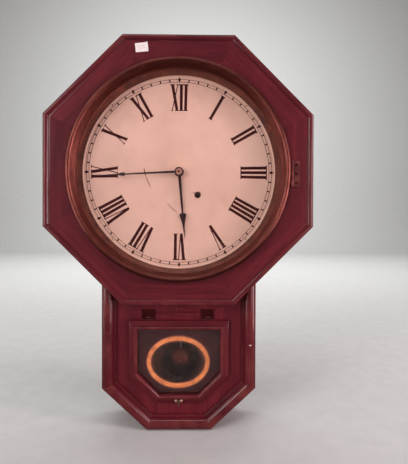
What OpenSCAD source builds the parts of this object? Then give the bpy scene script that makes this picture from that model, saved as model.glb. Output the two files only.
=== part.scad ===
// Short-drop octagon wall clock, time only, with a pendulum behind its lower door.
// Millimetres. +Z up, the front faces -Y, the wall is y = 0, the origin is in the hanger's hole.
// A height h is measured over the wall, so a face at height h lies at y = -h.

/* [Case] */
// Octagon frame across its flats
octagon_flats = 419; // [412:1:426]
// Height of the octagon's flat front over the wall
octagon_front = 98.5; // [98:0.1:99]
// Width of the round bead on the octagon's outer edge
octagon_bead = 10; // [8:0.5:12]
// Bore of the octagon around the bezel's sleeve
octagon_bore = 326; // [325.6:0.1:327]
// Width of the back box and of the drop
drop_w = 247; // [244:1:250]
// From the dial's centre down to the bottom of the drop
drop_low = 413; // [411:1:418]
// Length of the drop's bottom edge between its diagonals
drop_foot_w = 104; // [102:1:108]
// Height of the drop's bottom diagonals
drop_cut_h = 66.5; // [65:0.5:71]
// From the dial's centre up to the top of the back box
box_high = 165; // [164:1:167]
// Thickness of the case boards
board_t = 8; // [7:0.5:8]
// Depth of the back box, wall to front edge
box_depth = 72; // [72:0.1:72.4]
// Width of the moulding around the drop
moulding_w = 22; // [20:0.5:23]
// From the hanger's hole down to the dial's centre
hanger_drop = 180; // [179:1:182]

/* [Dial and bezel] */
// Diameter of the dial inside its rolled rim
dial_d = 304; // [303:0.5:305]
// Outer diameter of the bezel
bezel_d = 345.4; // [345:0.1:346]
// Width of the bezel's round outer bead
bezel_bead = 8; // [7.6:0.1:8.4]
// Diameter of the bezel's sight edge
bezel_sight = 319; // [318:0.5:320]
// Minute hand, degrees clockwise from 12
minute_at = 267; // [0:1:359]
// Hour hand, degrees clockwise from 12
hour_at = 175; // [0:1:359]
// Length of the minute hand from its centre
minute_len = 134; // [128:1:138]
// Length of the hour hand from its centre
hour_len = 107; // [104:0.5:109]

/* [Lower door] */
// Width of the door
door_w = 160; // [158:1:162]
// Height of the door
door_h = 133; // [131:1:134]
// From the dial's centre down to the door's top edge
door_top = 238; // [238:0.5:239]
// Width of the door's rails
door_rail = 14; // [13:0.5:15]
// Size of the cut at the door's lower corners
door_cut = 43; // [41:1:45]
// Height of the door's front over the wall
door_front = 84.4; // [84:0.1:85]

/* [Pendulum] */
// From the pendulum's pivot down to the bob's centre
pendulum_len = 372.5; // [368:0.5:375]
// Diameter of the bob
bob_d = 55; // [50:1:58]
// Thickness of the bob at its centre
bob_t = 14; // [12:0.5:15]

/* [Movement] */
// Width of the movement plates
plate_w = 128; // [127:0.5:129]
// Height of the movement plates
plate_z = 138; // [137:0.5:139]
// Winding arbor, right of the dial's centre
winding_x = 29.5; // [29.3:0.1:29.7]
// Winding arbor, up from the dial's centre
winding_z = -36; // [-36.2:0.1:-35.8]

/* [Hidden] */
$fn = 64;
FINE = 240;                          // facets drawn on the largest rounds

// Clearances
glue_gap = 0.05;                     // half of a glue line
run = 0.05;                          // running fit on a radius
ease = 0.2;                          // room around a let-in piece

// Case
half_w = drop_w / 2;
half_foot = drop_foot_w / 2;
slope_z = drop_cut_h - drop_low;
case_pts = [[-half_w, box_high], [half_w, box_high], [half_w, slope_z],
    [half_foot, -drop_low], [-half_foot, -drop_low], [-half_w, slope_z]];
drop_pts = [for (p = case_pts) [p[0], min(p[1], 0)]];
apothem = octagon_flats / 2;
octagon_pts = [for (k = [0:7]) polar(apothem / cos(22.5), 45 * k - 22.5)];
octagon_back = box_depth;
octagon_w = 110;                     // segments before the bore is cut
octagon_seat = 5;                    // lip that the dial is nailed to
bead_rise = 2.5;                     // bead over the octagon's flat
lip_r = 112;                         // opening behind the dial, inside the box
moulding_t = 14;
panel_t = 6;
panel_back = box_depth - panel_t;
panel_top = 20 - apothem;
panel_lap = 2.5;                     // how far the door laps the panel
rail_x = [-57, 57];
rail_w = 14;
rail_z = [-95, 80];
hanger_t = 2;
hanger_w = 44;
hanger_foot_z = -40;                 // bottom edge of the hanger plate
hanger_neck_z = -18;
hanger_r = 13;
hanger_bore_r = 4;
hanger_screw_at = [[-14, -31], [14, -31]];

// Lower door
door_low = -door_top - door_h;
door_pts = [[-door_w / 2, -door_top], [door_w / 2, -door_top],
    [door_w / 2, door_low + door_cut], [door_w / 2 - door_cut, door_low],
    [door_cut - door_w / 2, door_low], [-door_w / 2, door_low + door_cut]];
door_back = box_depth + 0.4;
door_t = door_front - door_back;
rabbet_w = 4;
rabbet_h = 4.2;
glass_t = 2;
door_hinge_x = [-49, 46];
door_hinge_w = 21;
door_pin = [-door_top + 5, box_depth + 4];       // z and height of the hinge pins
door_leaf_t = 1.2;
door_screw_z = door_pin[0] + 7.5;
door_screw_x = [-6, 6];
latch_z = door_low + 5;
latch_r = 1.2;
latch_face = door_back + 7.3;        // flat seat cut in the rail for the latch plate
latch_screw_x = [-4.2, 4.2];

// Dial and bezel
dial_r = dial_d / 2;
pan_t = 0.8;
pan_back = octagon_back + octagon_seat;
pan_front = pan_back + pan_t;
rim_r = 1.3;
pan_r = dial_r + 2 * rim_r;
hand_hole_r = 6.5;
key_hole_r = 4.2;
dial_nail_r = 0.6;
dial_nail_at = [for (a = [45, 135, 225, 315]) polar(dial_r - 1.4, a)];
bezel_r = bezel_d / 2;
bezel_bead_r = bezel_bead / 2;
bezel_back = octagon_front + 0.3;
bezel_bead_h = bezel_back + 4.2;
sleeve_r = 162.2;
glass_back = 93;
knuckle_r = 2.1;
pin_r = 0.9;
bezel_pin = [bezel_r + 2.6, octagon_front + 3.2];  // x and height of the hinge pin
bezel_hinge_z = -5;
bezel_hinge_len = 40;
bezel_leaf_x = bezel_pin[0] + 2.7;
bezel_screw_at = [for (k = [-14, 0, 14]) [bezel_leaf_x + 5, bezel_hinge_z + k]];
sticker_at = [-57, 188.7];
sticker_size = [19.6, 14];
sticker_turn = -6;

// Movement, as heights over the wall
back_plate_h = 30;
plate_t = 2;
gap_low = back_plate_h + plate_t;
front_plate_h = gap_low + 32;
front_h = front_plate_h + plate_t;
plate_corner = 6;
plate_mid_z = -9;
window_at = [[-36, -52, 12], [-39, -2, 14], [37, 20, 15], [-2, -64, 9]];

// Train: teeth, leaves and modules
main_teeth = 72;
second_leaves = 12;
second_teeth = 72;
centre_leaves = 8;
centre_teeth = 84;
third_leaves = 7;
third_teeth = 70;
escape_leaves = 7;
escape_teeth = 25;
cannon_leaves = 12;
minute_teeth = 36;
minute_leaves = 10;
hour_teeth = 40;
m_main = 0.9;
m_second = 0.7;
m_centre = 0.6;
m_third = 0.5;
m_cannon = 0.625;
m_hour = 0.6;
escape_r = 14;
ratchet_teeth = 24;
ratchet_r = 11;

// Tooth forms: addendum and dedendum in modules, widths at pitch, tip and root in pitches
WHEEL = [0.90, 1.15, 0.44, 0.16, 0.50];
LEAF = [0.60, 1.30, 0.38, 0.20, 0.24];

// Arbors, across and up from the dial's centre
centre_at = [0, 0];
winding_at = [winding_x, winding_z];
escape_at = [0, 30];
verge_at = [0, 47.5];
third_at = meet(centre_at, m_centre * (centre_teeth + third_leaves) / 2,
    escape_at, m_third * (third_teeth + escape_leaves) / 2);
second_at = meet(winding_at, m_main * (main_teeth + second_leaves) / 2,
    centre_at, m_second * (second_teeth + centre_leaves) / 2);
minute_wheel_at = m_cannon * (cannon_leaves + minute_teeth) / 2 * [-cos(20), -sin(20)];
third_phase = mate(0, centre_teeth, third_leaves, bearing(centre_at, third_at));
escape_phase = mate(0, third_teeth, escape_leaves, bearing(third_at, escape_at));
second_phase = mate(0, centre_leaves, second_teeth, bearing(centre_at, second_at));
main_phase = mate(0, second_leaves, main_teeth, bearing(second_at, winding_at));
minute_phase = mate(0, cannon_leaves, minute_teeth, bearing(centre_at, minute_wheel_at));
hour_phase = mate(0, minute_leaves, hour_teeth, bearing(minute_wheel_at, centre_at));

// Radii of the arbors in the plates
centre_front_r = 1.6;
centre_pivot_r = 1.2;
fine_pivot_r = 0.7;
verge_front_r = 0.8;
verge_back_r = 1;
second_pivot_r = 1;
winding_r = 3;
winding_pivot_r = 2;
pillar_at = [[-50, 48], [50, 48], [-50, -70], [50, -70]];
pillar_r = 3.5;
pillar_foot_r = 2;
pillar_thread_r = 1.5;
foot_at = [[-58, 30], [58, 30], [-58, -50], [58, -50]];
foot_screw_r = 1.5;

// Hand and motion-work heights
cannon_h = front_h + 1.2;
hour_wheel_h = front_h + 5.5;
hour_hand_h = pan_front + 3.4;
minute_hand_h = hour_hand_h + 4.8;
hand_t = 1;
cannon_r = 2.4;
hour_pipe_r = 3.6;
hand_pin_r = 0.6;
hand_pin_h = minute_hand_h + hand_t + 2;
stud_r = 1;

// Pendulum
pivot_z = verge_at[1];
pendulum_h = 19;
spring_w = 6;
rod_r = 1.5;
thread_r = 1.3;
rod_top_z = pivot_z - 20;
bob_z = pivot_z - pendulum_len;
nut_z = bob_z - bob_d / 2 - 5.6;
nut_t = 5;
crutch_h = 26.5;
crutch_r = 0.8;
crutch_len = 42;

// Click, about the winding arbor
click_pivot = 15.5 * [cos(-20), sin(-20)];
ratchet_h = gap_low + 7.2;
ratchet_t = 2.5;
main_wheel_h = gap_low + 10;
spring_r = [7.5, 28.5];
spring_turns = 6;
spring_t = 0.5;
spring_end = -75;                    // bearing of the mainspring's outer end

// Colours
wood = [0.36, 0.10, 0.12];
pine = [0.62, 0.46, 0.30];
old_brass = [0.55, 0.38, 0.26];
brass = [0.78, 0.62, 0.32];
steel = [0.55, 0.56, 0.58];
blued = [0.07, 0.06, 0.09];
dial_white = [0.90, 0.84, 0.78];
clear_glass = [0.80, 0.88, 0.90, 0.35];

// --- Functions ---

function unit(v) = v / norm(v);
function polar(r, a) = [r * sin(a), r * cos(a)];
function bearing(p, q) = atan2(q[1] - p[1], q[0] - p[0]);

// Where a circle of radius a about p meets one of radius b about q, left of the way from p to q
function meet(p, a, q, b) = let (d = norm(q - p), u = (q - p) / d,
    s = (a * a - b * b + d * d) / (2 * d), t = sqrt(a * a - s * s)) p + s * u + t * [-u[1], u[0]];

// Phase that puts gear b in mesh with gear a of phase pa, where b lies on bearing d from a
function mate(pa, na, nb, d) = d + 180 + 180 / nb - (pa - d) * na / nb;

// A convex outline, listed clockwise, moved in by d with its mitres kept true
function inset(pts, d) = [for (i = [0:len(pts) - 1])
    let (n = len(pts), a = unit(pts[i] - pts[(i + n - 1) % n]), b = unit(pts[(i + 1) % n] - pts[i]),
        na = [a[1], -a[0]], nb = [b[1], -b[0]]) pts[i] + d * (na + nb) / (1 + na * nb)];

function spiral(r, t, turns, a0) = let (n = 24 * turns, step = (r[1] - r[0]) / n)
    [for (side = [0, 1], k = [0:n]) let (i = side == 0 ? k : n - k, q = r[0] + step * i + side * t)
        q * [cos(a0 + 15 * i), sin(a0 + 15 * i)]];

// --- Placing ---

module about_dial() translate([0, 0, -hanger_drop]) children();

module at_winding() translate([winding_at[0], 0, winding_at[1]]) children();

// A flat outline in x and z, t thick, on height h
module slab(h, t) translate([0, -h, 0]) rotate([90, 0, 0]) linear_extrude(t) children();

// A solid of revolution about the dial's axis, drawn as radius and height
module turned() rotate([90, 0, 0]) rotate_extrude($fn = FINE) children();

module cyl_x(x, h, z, r, len) translate([x, -h, z]) rotate([0, 90, 0]) cylinder(r = r, h = len);

module cyl_y(at, r, h, t) translate([at[0], -h, at[1]]) rotate([90, 0, 0]) cylinder(r = r, h = t);

module cyl_z(x, h, z, r, len) translate([x, -h, z]) cylinder(r = r, h = len);

module disc(r, h, t) translate([0, -h, 0]) rotate([90, 0, 0]) cylinder(r = r, h = t, $fn = FINE);

// --- Mitred boards and mouldings ---

// The part of a frame w wide that lies along edge i, less its glue lines
module mitre(pts, i, w) {
    inner = inset(pts, w);
    j = (i + 1) % len(pts);
    trim = glue_gap * unit(pts[j] - pts[i]);
    polygon([pts[i] + trim, pts[j] - trim, inner[j] - trim, inner[i] + trim]);
}

// Edge i of a frame whose section is drawn as distance in from the edge, and height over h
module mitred_run(pts, i, w, h, t) {
    p = pts[(i + 1) % len(pts)];
    along = unit(p - pts[i]);
    place = [[along[1], 0, -along[0], p[0]], [0, -1, 0, -h], [-along[0], 0, -along[1], p[1]]];
    intersection() {
        slab(h, t) mitre(pts, i, w);
        multmatrix(place) linear_extrude(norm(p - pts[i])) children();
    }
}

module case_board(i) color(wood) about_dial()
    slab(board_t, box_depth - board_t) mitre(case_pts, i, board_t);

// A wood screw whose head stands on height h
module nail(at, h, head_r, shank_r, len) {
    cyl_y(at, head_r, h, 0.6);
    cyl_y(at, shank_r, h - len, len);
}

module wood_screw(at, h, head_r, shank_r, len) difference() {
    union() {
        cyl_y(at, head_r, h, 0.9);
        cyl_y(at, shank_r, h - len, len);
    }
    translate([at[0] - head_r, -h - 1, at[1] - 0.2]) cube([2 * head_r, 0.5, 0.4]);
}

// --- Case ---

module hanger_outline() union() {
    translate([-hanger_w / 2, hanger_foot_z]) square([hanger_w, hanger_neck_z - hanger_foot_z]);
    translate([-hanger_r, hanger_neck_z - 1]) square([2 * hanger_r, 1 - hanger_neck_z]);
    circle(hanger_r);
}

module hanger_plate() color(brass) difference() {
    slab(0, hanger_t) hanger_outline();
    cyl_y([0, 0], hanger_bore_r, -1, hanger_t + 2);
    for (p = hanger_screw_at) cyl_y(p, 1.6, -1, hanger_t + 2);
}

module backboard() color(pine) difference() {
    about_dial() slab(0, board_t - glue_gap) polygon(case_pts);
    slab(-1, 1 + hanger_t + glue_gap) translate([-hanger_w / 2 - ease, hanger_foot_z - ease])
        square([hanger_w + 2 * ease, 60]);
    for (p = hanger_screw_at) cyl_y(p, 1.05, -1, board_t + 2);
}

module case_side_left() case_board(5);
module case_side_right() case_board(1);
module case_top() case_board(0);
module case_bottom() case_board(3);
module case_diagonal_left() case_board(4);
module case_diagonal_right() case_board(2);

module octagon_section() union() {
    rise = octagon_front - octagon_back;
    square([octagon_w, rise]);
    square([octagon_bead, rise + bead_rise - octagon_bead / 2]);
    translate([octagon_bead / 2, rise + bead_rise - octagon_bead / 2]) circle(octagon_bead / 2);
}

module octagon_frame() color(wood) about_dial() difference() {
    for (i = [0:7])
        mitred_run(octagon_pts, i, octagon_w, octagon_back, 40) octagon_section();
    disc(lip_r, octagon_back - 1, 40);
    disc(octagon_bore / 2, pan_back, 40);
    for (p = dial_nail_at) cyl_y(p, dial_nail_r + run, octagon_back - 1, 20);
    for (p = bezel_screw_at) cyl_y(p, 1.05, octagon_front - 9, 20);
}

module moulding_section() union() {
    square([moulding_w, 4.5]);
    translate([9.5, 4.5]) circle(moulding_t - 4.5);
}

module drop_moulding() color(wood) about_dial() difference() {
    for (i = [1:5]) mitred_run(drop_pts, i, moulding_w, box_depth, moulding_t) moulding_section();
    slab(box_depth - 1, moulding_t + 2) polygon(inset(octagon_pts, -glue_gap));
}

module drop_panel() color(wood) about_dial() difference() {
    slab(panel_back, panel_t) difference() {
        polygon(inset(case_pts, board_t + glue_gap));
        polygon(inset(door_pts, panel_lap));
        translate([-half_w, panel_top]) square([drop_w, 2 * apothem]);
    }
    for (x = door_hinge_x, s = door_screw_x)
        cyl_y([x + s, door_screw_z], 0.85, panel_back - 1, panel_t + 2);
}

module seat_rails() color(pine) about_dial() difference() {
    for (x = rail_x) slab(board_t, back_plate_h - board_t)
        translate([x - rail_w / 2, rail_z[0]]) square([rail_w, rail_z[1] - rail_z[0]]);
    for (p = foot_at) cyl_y(p, 1.3, back_plate_h - 13, 20);
}

module case_screws() color(brass) {
    for (p = hanger_screw_at) cyl_y(p, 1, 0.1, board_t - 0.3);
    about_dial() {
        for (p = dial_nail_at) nail(p, pan_front, 1, dial_nail_r, 5);
        for (p = bezel_screw_at) wood_screw(p, octagon_front + 1.2, 1.9, 1, 8);
        for (x = door_hinge_x, s = door_screw_x)
            wood_screw([x + s, door_screw_z], box_depth + door_leaf_t, 1.6, 0.8, 6.5);
    }
}

module paper_sticker() color("white") about_dial() translate([sticker_at[0], 0, sticker_at[1]])
    rotate([0, sticker_turn, 0]) slab(octagon_front, 0.2) square(sticker_size, center = true);

// --- Dial, bezel and hands ---

module dial_pan() color(dial_white) about_dial() difference() {
    union() {
        disc(pan_r, pan_back, pan_t);
        turned() intersection() {
            translate([dial_r + rim_r, pan_front]) circle(rim_r);
            translate([dial_r, pan_back]) square([2 * rim_r, 2 * rim_r]);
        }
    }
    cyl_y(centre_at, hand_hole_r, pan_back - 1, 6);
    cyl_y(winding_at, key_hole_r, pan_back - 1, 6);
    for (p = dial_nail_at) cyl_y(p, dial_nail_r + run, pan_back - 1, 6);
}

// Tabs that join the moving knuckles to the bezel
module bezel_tabs(room) for (k = [1, 3]) slab(bezel_pin[1] - 0.6 - room, 1.2 + 2 * room)
    translate([bezel_r - 3 - room, bezel_hinge_z + bezel_hinge_len * (k / 5 - 0.5) + 0.2 - room])
        square([bezel_pin[0] - bezel_r + 3 + room, bezel_hinge_len / 5 - 0.4 + 2 * room]);

module bezel_ring() color(old_brass) about_dial() difference() {
    inner_r = bezel_r - bezel_bead;
    turned() union() {
        translate([bezel_r - bezel_bead_r, bezel_bead_h]) circle(bezel_bead_r);
        translate([inner_r, bezel_back]) square([bezel_bead - 0.5, 4.2]);
        polygon([[inner_r + 0.5, bezel_back + 5.4], [bezel_sight / 2, glass_back + glass_t + 1.6],
            [bezel_sight / 2, glass_back + glass_t], [sleeve_r - 0.5, glass_back + glass_t],
            [sleeve_r - 0.5, bezel_back], [inner_r + 0.5, bezel_back]]);
        translate([sleeve_r - 1, glass_back - 1.6]) square([1, bezel_back - glass_back + 2]);
        translate([sleeve_r - 2.6, glass_back - 1.6]) square([2.6, 1.4]);
    }
    bezel_tabs(glue_gap);
}

module bezel_glass() color(clear_glass) about_dial()
    disc(sleeve_r - 1.2, glass_back, glass_t - glue_gap);

// One of five knuckles on the bezel's upright pin
module bezel_knuckle(k) cyl_z(bezel_pin[0], bezel_pin[1],
    bezel_hinge_z + bezel_hinge_len * (k / 5 - 0.5) + 0.1, knuckle_r, bezel_hinge_len / 5 - 0.2);

module bezel_hinge_leaf() color(brass) about_dial() difference() {
    low = bezel_hinge_z - bezel_hinge_len / 2;
    union() {
        slab(octagon_front, 1.2) translate([bezel_leaf_x, low]) square([10, bezel_hinge_len]);
        for (k = [0, 2, 4]) {
            bezel_knuckle(k);
            slab(octagon_front, 2.6) translate([bezel_pin[0], low + bezel_hinge_len * k / 5 + 0.1])
                square([3.5, bezel_hinge_len / 5 - 0.2]);
        }
    }
    cyl_z(bezel_pin[0], bezel_pin[1], low - 1, pin_r + run, bezel_hinge_len + 2);
    for (p = bezel_screw_at) cyl_y(p, 1.1, octagon_front - 1, 5);
}

module bezel_hinge_flap() color(brass) about_dial() difference() {
    union() {
        bezel_tabs(0);
        for (k = [1, 3]) bezel_knuckle(k);
    }
    cyl_z(bezel_pin[0], bezel_pin[1], bezel_hinge_z - bezel_hinge_len, pin_r + run,
        2 * bezel_hinge_len);
}

module hinge_pins() color(steel) about_dial() {
    cyl_z(bezel_pin[0], bezel_pin[1], bezel_hinge_z - bezel_hinge_len / 2, pin_r, bezel_hinge_len);
    for (x = door_hinge_x)
        cyl_x(x - door_hinge_w / 2, door_pin[1], door_pin[0], pin_r, door_hinge_w);
}

// A spade hand pointing up: tapered stem, spade between two distances out, and a thin tip
module spade_hand(h, len, stem, spade, lobe, boss_r, bore_r) difference() {
    union() {
        cyl_y(centre_at, boss_r, h, hand_t);
        slab(h, hand_t) polygon([[-stem, 0], [stem, 0], [stem * 0.6, spade[0]], [0.3, len],
            [-0.3, len], [-stem * 0.6, spade[0]]]);
        for (s = [-1, 1]) cyl_y([s * lobe * 0.8, spade[0]], lobe, h, hand_t);
        slab(h, hand_t) polygon([[-lobe * 1.7, spade[0] + lobe * 0.4], [0, spade[1]],
            [lobe * 1.7, spade[0] + lobe * 0.4]]);
    }
    cyl_y(centre_at, bore_r, h - 1, hand_t + 2);
}

module minute_hand() color(blued) about_dial() rotate([0, minute_at, 0])
    spade_hand(minute_hand_h, minute_len, 1.8, [87, 97], 1.6, 7.2, cannon_r);

module hour_hand() color(blued) about_dial() rotate([0, hour_at, 0])
    spade_hand(hour_hand_h, hour_len, 2.3, [68.5, 84], 2.8, 7.5, hour_pipe_r);

// Washer over the minute hand, and the pin through the arbor that holds it
module hand_washer() color(brass) about_dial() {
    difference() {
        cyl_y(centre_at, 4.9, minute_hand_h + hand_t, 1.2);
        cyl_y(centre_at, centre_front_r, minute_hand_h, 6);
    }
    cyl_x(-4.5, hand_pin_h, 0, hand_pin_r, 9);
}

// --- Lower door ---

module door_section() union() {
    bead = 2.9;
    polygon([[0, 0], [0, 5], [1, 6], [door_rail - 2 * bead, 8.6], [door_rail - bead, 9.1],
        [door_rail, 9.1], [door_rail, rabbet_h], [door_rail - rabbet_w, rabbet_h],
        [door_rail - rabbet_w, 0]]);
    translate([door_rail - bead, door_t - bead]) circle(bead);
}

module flap_outline(room) union() {
    translate([-door_hinge_w / 2 - room, -14 - room]) square([door_hinge_w + 2 * room, 10.5 + room]);
    translate([-door_hinge_w / 6 + 0.1 - room, -4]) square([door_hinge_w / 3 - 0.2 + 2 * room, 5.5]);
}

module door_frame() color(wood) about_dial() difference() {
    for (i = [0:5]) mitred_run(door_pts, i, door_rail, door_back, door_t) door_section();
    for (x = door_hinge_x) translate([0, 0, door_pin[0]])
        slab(door_back - 1, door_leaf_t + 1.1) translate([x, 0]) flap_outline(ease);
    cyl_y([0, latch_z], latch_r + 0.1, door_back - 1, 30);
    latch_seat(2.4, latch_face, 4);
    for (x = latch_screw_x) cyl_y([x, latch_z], 0.75, latch_face - 4.5, 5);
}

module door_glass() color(clear_glass) about_dial() slab(door_back + rabbet_h - glass_t, glass_t)
    polygon(inset(door_pts, door_rail - rabbet_w + ease));

module door_hinge_leaves() color(brass) about_dial() difference() {
    for (x = door_hinge_x) {
        slab(box_depth, door_leaf_t) translate([x - door_hinge_w / 2, door_pin[0] + 3])
            square([door_hinge_w, 9]);
        for (k = [0, 2]) translate([door_hinge_w * (k / 3 - 0.5) + 0.1, 0, 0]) {
            cyl_x(x, door_pin[1], door_pin[0], knuckle_r, door_hinge_w / 3 - 0.2);
            slab(box_depth, 3.6) translate([x, door_pin[0]]) square([door_hinge_w / 3 - 0.2, 3.6]);
        }
    }
    for (x = door_hinge_x, s = door_screw_x) cyl_y([x + s, door_screw_z], 0.95, box_depth - 1, 5);
    cyl_x(-half_w, door_pin[1], door_pin[0], pin_r + run, drop_w);
}

module door_hinge_flaps() color(brass) about_dial() difference() {
    for (x = door_hinge_x) {
        translate([x, 0, door_pin[0]]) slab(door_back, door_leaf_t) flap_outline(0);
        slab(door_back, 2.6) translate([x - door_hinge_w / 6 + 0.1, door_pin[0] - 2])
            square([door_hinge_w / 3 - 0.2, 3.5]);
        cyl_x(x - door_hinge_w / 6 + 0.1, door_pin[1], door_pin[0], knuckle_r,
            door_hinge_w / 3 - 0.2);
    }
    cyl_x(-half_w, door_pin[1], door_pin[0], pin_r + run, drop_w);
}

module latch_seat(r, h, t) {
    slab(h, t) translate([latch_screw_x[0], latch_z - r]) square([2 * latch_screw_x[1], 2 * r]);
    for (x = latch_screw_x) cyl_y([x, latch_z], r, h, t);
}

module latch_plate() color(old_brass) about_dial() difference() {
    union() {
        latch_seat(2.3, latch_face, 0.8);
        for (x = latch_screw_x) {
            cyl_y([x, latch_z], 1.5, latch_face + 0.8, 0.9);
            cyl_y([x, latch_z], 0.7, latch_face - 4, 4.5);
        }
    }
    cyl_y([0, latch_z], latch_r + 0.1, latch_face - 1, 5);
}

// Turn button: a tail outside, and a tongue that turns down behind the panel
module door_latch() color(old_brass) about_dial() union() {
    tongue_h = panel_back - 2.6;
    cyl_y([0, latch_z], latch_r, tongue_h, latch_face + 3.9 - tongue_h);
    cyl_y([0, latch_z], 2.1, latch_face + 2.2, 1.5);
    slab(latch_face + 2.2, 1.2) translate([0, latch_z])
        polygon([[-1.4, 0], [1.4, 0], [0.9, -8], [-0.9, -8]]);
    slab(tongue_h, 1.8) translate([-1.5, latch_z - 1.5]) square([12, 3]);
}

// --- Gears ---

function tooth(m, n, form, a) = let (r = m * n / 2, w = 180 / n)
    [for (p = [[r - form[1] * m, -form[4]], [r, -form[2]], [r + form[0] * m, -form[3]],
        [r + form[0] * m, form[3]], [r, form[2]], [r - form[1] * m, form[4]]])
        p[0] * [cos(a + p[1] * w), sin(a + p[1] * w)]];

module gear(n, m, form, phase)
    polygon([for (i = [0:n - 1]) each tooth(m, n, form, phase + 360 * i / n)]);

// Openings between the spokes of a wheel
module crossings(hub_r, rim_r, spokes, spoke_w) difference() {
    circle(rim_r);
    circle(hub_r);
    for (k = [1:spokes]) rotate(360 * k / spokes) translate([0, -spoke_w / 2])
        square([rim_r + 1, spoke_w]);
}

// A wheel with spokes, and the collet that seats it on its arbor
module spoked_wheel(at, n, m, phase, h, t, bore_r, hub_r, spokes = 4)
    translate([at[0], 0, at[1]]) slab(h, t) difference() {
        gear(n, m, WHEEL, phase);
        circle(bore_r);
        crossings(hub_r, m * n / 2 - 3.5 * m, spokes, 3);
    }

// A pinion's leaves
module leaves(at, n, m, phase, h, t) translate([at[0], 0, at[1]]) slab(h, t) gear(n, m, LEAF, phase);

// --- Movement: plates ---

module plate_outline() union() {
    w = plate_w - 2 * plate_corner;
    z = plate_z - 2 * plate_corner;
    translate([-plate_w / 2, plate_mid_z - z / 2]) square([plate_w, z]);
    translate([-w / 2, plate_mid_z - plate_z / 2]) square([w, plate_z]);
    for (x = [-w / 2, w / 2], y = [-z / 2, z / 2]) translate([x, plate_mid_z + y])
        circle(plate_corner);
}

module plate(h, bores) color(brass) about_dial() difference() {
    slab(h, plate_t) difference() {
        plate_outline();
        for (w = window_at) translate([w[0], w[1]]) circle(w[2]);
    }
    for (b = bores) cyl_y(b[0], b[1], h - 1, plate_t + 2);
}

module front_plate() plate(front_plate_h, concat([for (p = pillar_at) [p, pillar_thread_r + run]],
    [[centre_at, centre_front_r + run], [third_at, fine_pivot_r + run],
        [escape_at, fine_pivot_r + run], [second_at, second_pivot_r + run],
        [winding_at, winding_r + run], [verge_at, verge_front_r + run], [minute_wheel_at, stud_r]]));

module back_plate() plate(back_plate_h, concat([for (p = pillar_at) [p, pillar_foot_r]],
    [for (p = foot_at) [p, foot_screw_r + 0.1]],
    [[centre_at, centre_pivot_r + run], [third_at, fine_pivot_r + run],
        [escape_at, fine_pivot_r + run], [second_at, second_pivot_r + run],
        [winding_at, winding_pivot_r + run], [verge_at, verge_back_r + run]]));

module plate_pillars() color(steel) about_dial() for (p = pillar_at) union() {
    cyl_y(p, pillar_r, gap_low, front_plate_h - gap_low);
    cyl_y(p, pillar_foot_r, back_plate_h, plate_t);
    cyl_y(p, pillar_thread_r, front_plate_h, plate_t + 4);
}

module pillar_nuts() color(brass) about_dial() for (p = pillar_at) difference() {
    translate([p[0], -front_h, p[1]]) rotate([90, 0, 0]) cylinder(r = 4, h = 3, $fn = 6);
    cyl_y(p, pillar_thread_r, front_h - 1, 6);
}

module movement_screws() color(steel) about_dial() for (p = foot_at) difference() {
    union() {
        cyl_y(p, 3.2, gap_low, 1.8);
        cyl_y(p, foot_screw_r, back_plate_h, plate_t);
        cyl_y(p, 1.25, back_plate_h - 12, 12);
    }
    translate([p[0] - 4, -gap_low - 2, p[1] - 0.3]) cube([8, 1, 0.6]);
}

module suspension_cock() color(brass) about_dial() difference() {
    union() {
        slab(back_plate_h - 1.6, 1.6) translate([-12, pivot_z + 3.5]) square([24, 13]);
        slab(pendulum_h - 3.5, back_plate_h - pendulum_h + 3)
            translate([-4, pivot_z + 3.5]) square([8, 8]);
    }
    slab(pendulum_h - 4, spring_w + 1.5) translate([-1.2, pivot_z]) square([2.4, 20]);
}

module minute_stud() color(steel) about_dial() union() {
    cyl_y(minute_wheel_at, stud_r, front_plate_h, hour_wheel_h + 4 - front_plate_h);
    cyl_y(minute_wheel_at, 1.8, front_h, 1.2);
}

// Open mainspring, its outer end looped round a pillar
module mainspring() color(steel) about_dial() at_winding() {
    loop_at = pillar_at[3] - winding_at;
    end_in = spring_r[1] * [cos(spring_end - 1.5), sin(spring_end - 1.5)];
    slab(main_wheel_h + 4, 16) difference() {
        union() {
            polygon(spiral(spring_r, spring_t, spring_turns, spring_end));
            polygon([end_in, end_in + [0, -spring_t], loop_at + [-3.9, 1.1], loop_at + [-3.7, 1.6]]);
            translate(loop_at) circle(pillar_r + 0.7);
        }
        translate(loop_at) circle(pillar_r + 0.1);
    }
}

// --- Movement: going train, from the centre arbor out ---

module centre_arbor() color(steel) about_dial() difference() {
    union() {
        leaves(centre_at, centre_leaves, m_second, 0, gap_low + 1.5, 5);
        cyl_y(centre_at, centre_pivot_r, back_plate_h, plate_t + 0.5);
        cyl_y(centre_at, 1.8, gap_low + 0.4, front_plate_h - gap_low - 0.8);
        cyl_y(centre_at, centre_front_r, front_plate_h - 0.5, hand_pin_h + 1.9 - front_plate_h);
    }
    cyl_x(-3, hand_pin_h, 0, hand_pin_r, 6);
}

module centre_wheel() color(brass) about_dial()
    spoked_wheel(centre_at, centre_teeth, m_centre, 0, gap_low + 7, 1.3, 1.8, 5);

module third_arbor() color(steel) about_dial() union() {
    leaves(third_at, third_leaves, m_centre, third_phase, gap_low + 4.5, 6.5);
    cyl_y(third_at, fine_pivot_r, back_plate_h, front_h - back_plate_h);
    cyl_y(third_at, 1.3, gap_low + 0.4, front_plate_h - gap_low - 0.8);
}

module third_wheel() color(brass) about_dial()
    spoked_wheel(third_at, third_teeth, m_third, 0, gap_low + 18, 1.2, 1.3, 4);

module escape_arbor() color(steel) about_dial() union() {
    leaves(escape_at, escape_leaves, m_third, escape_phase, gap_low + 15.5, 6.3);
    cyl_y(escape_at, fine_pivot_r, back_plate_h, front_h - back_plate_h);
    cyl_y(escape_at, 1.1, gap_low + 0.4, front_plate_h - gap_low - 0.8);
}

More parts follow.
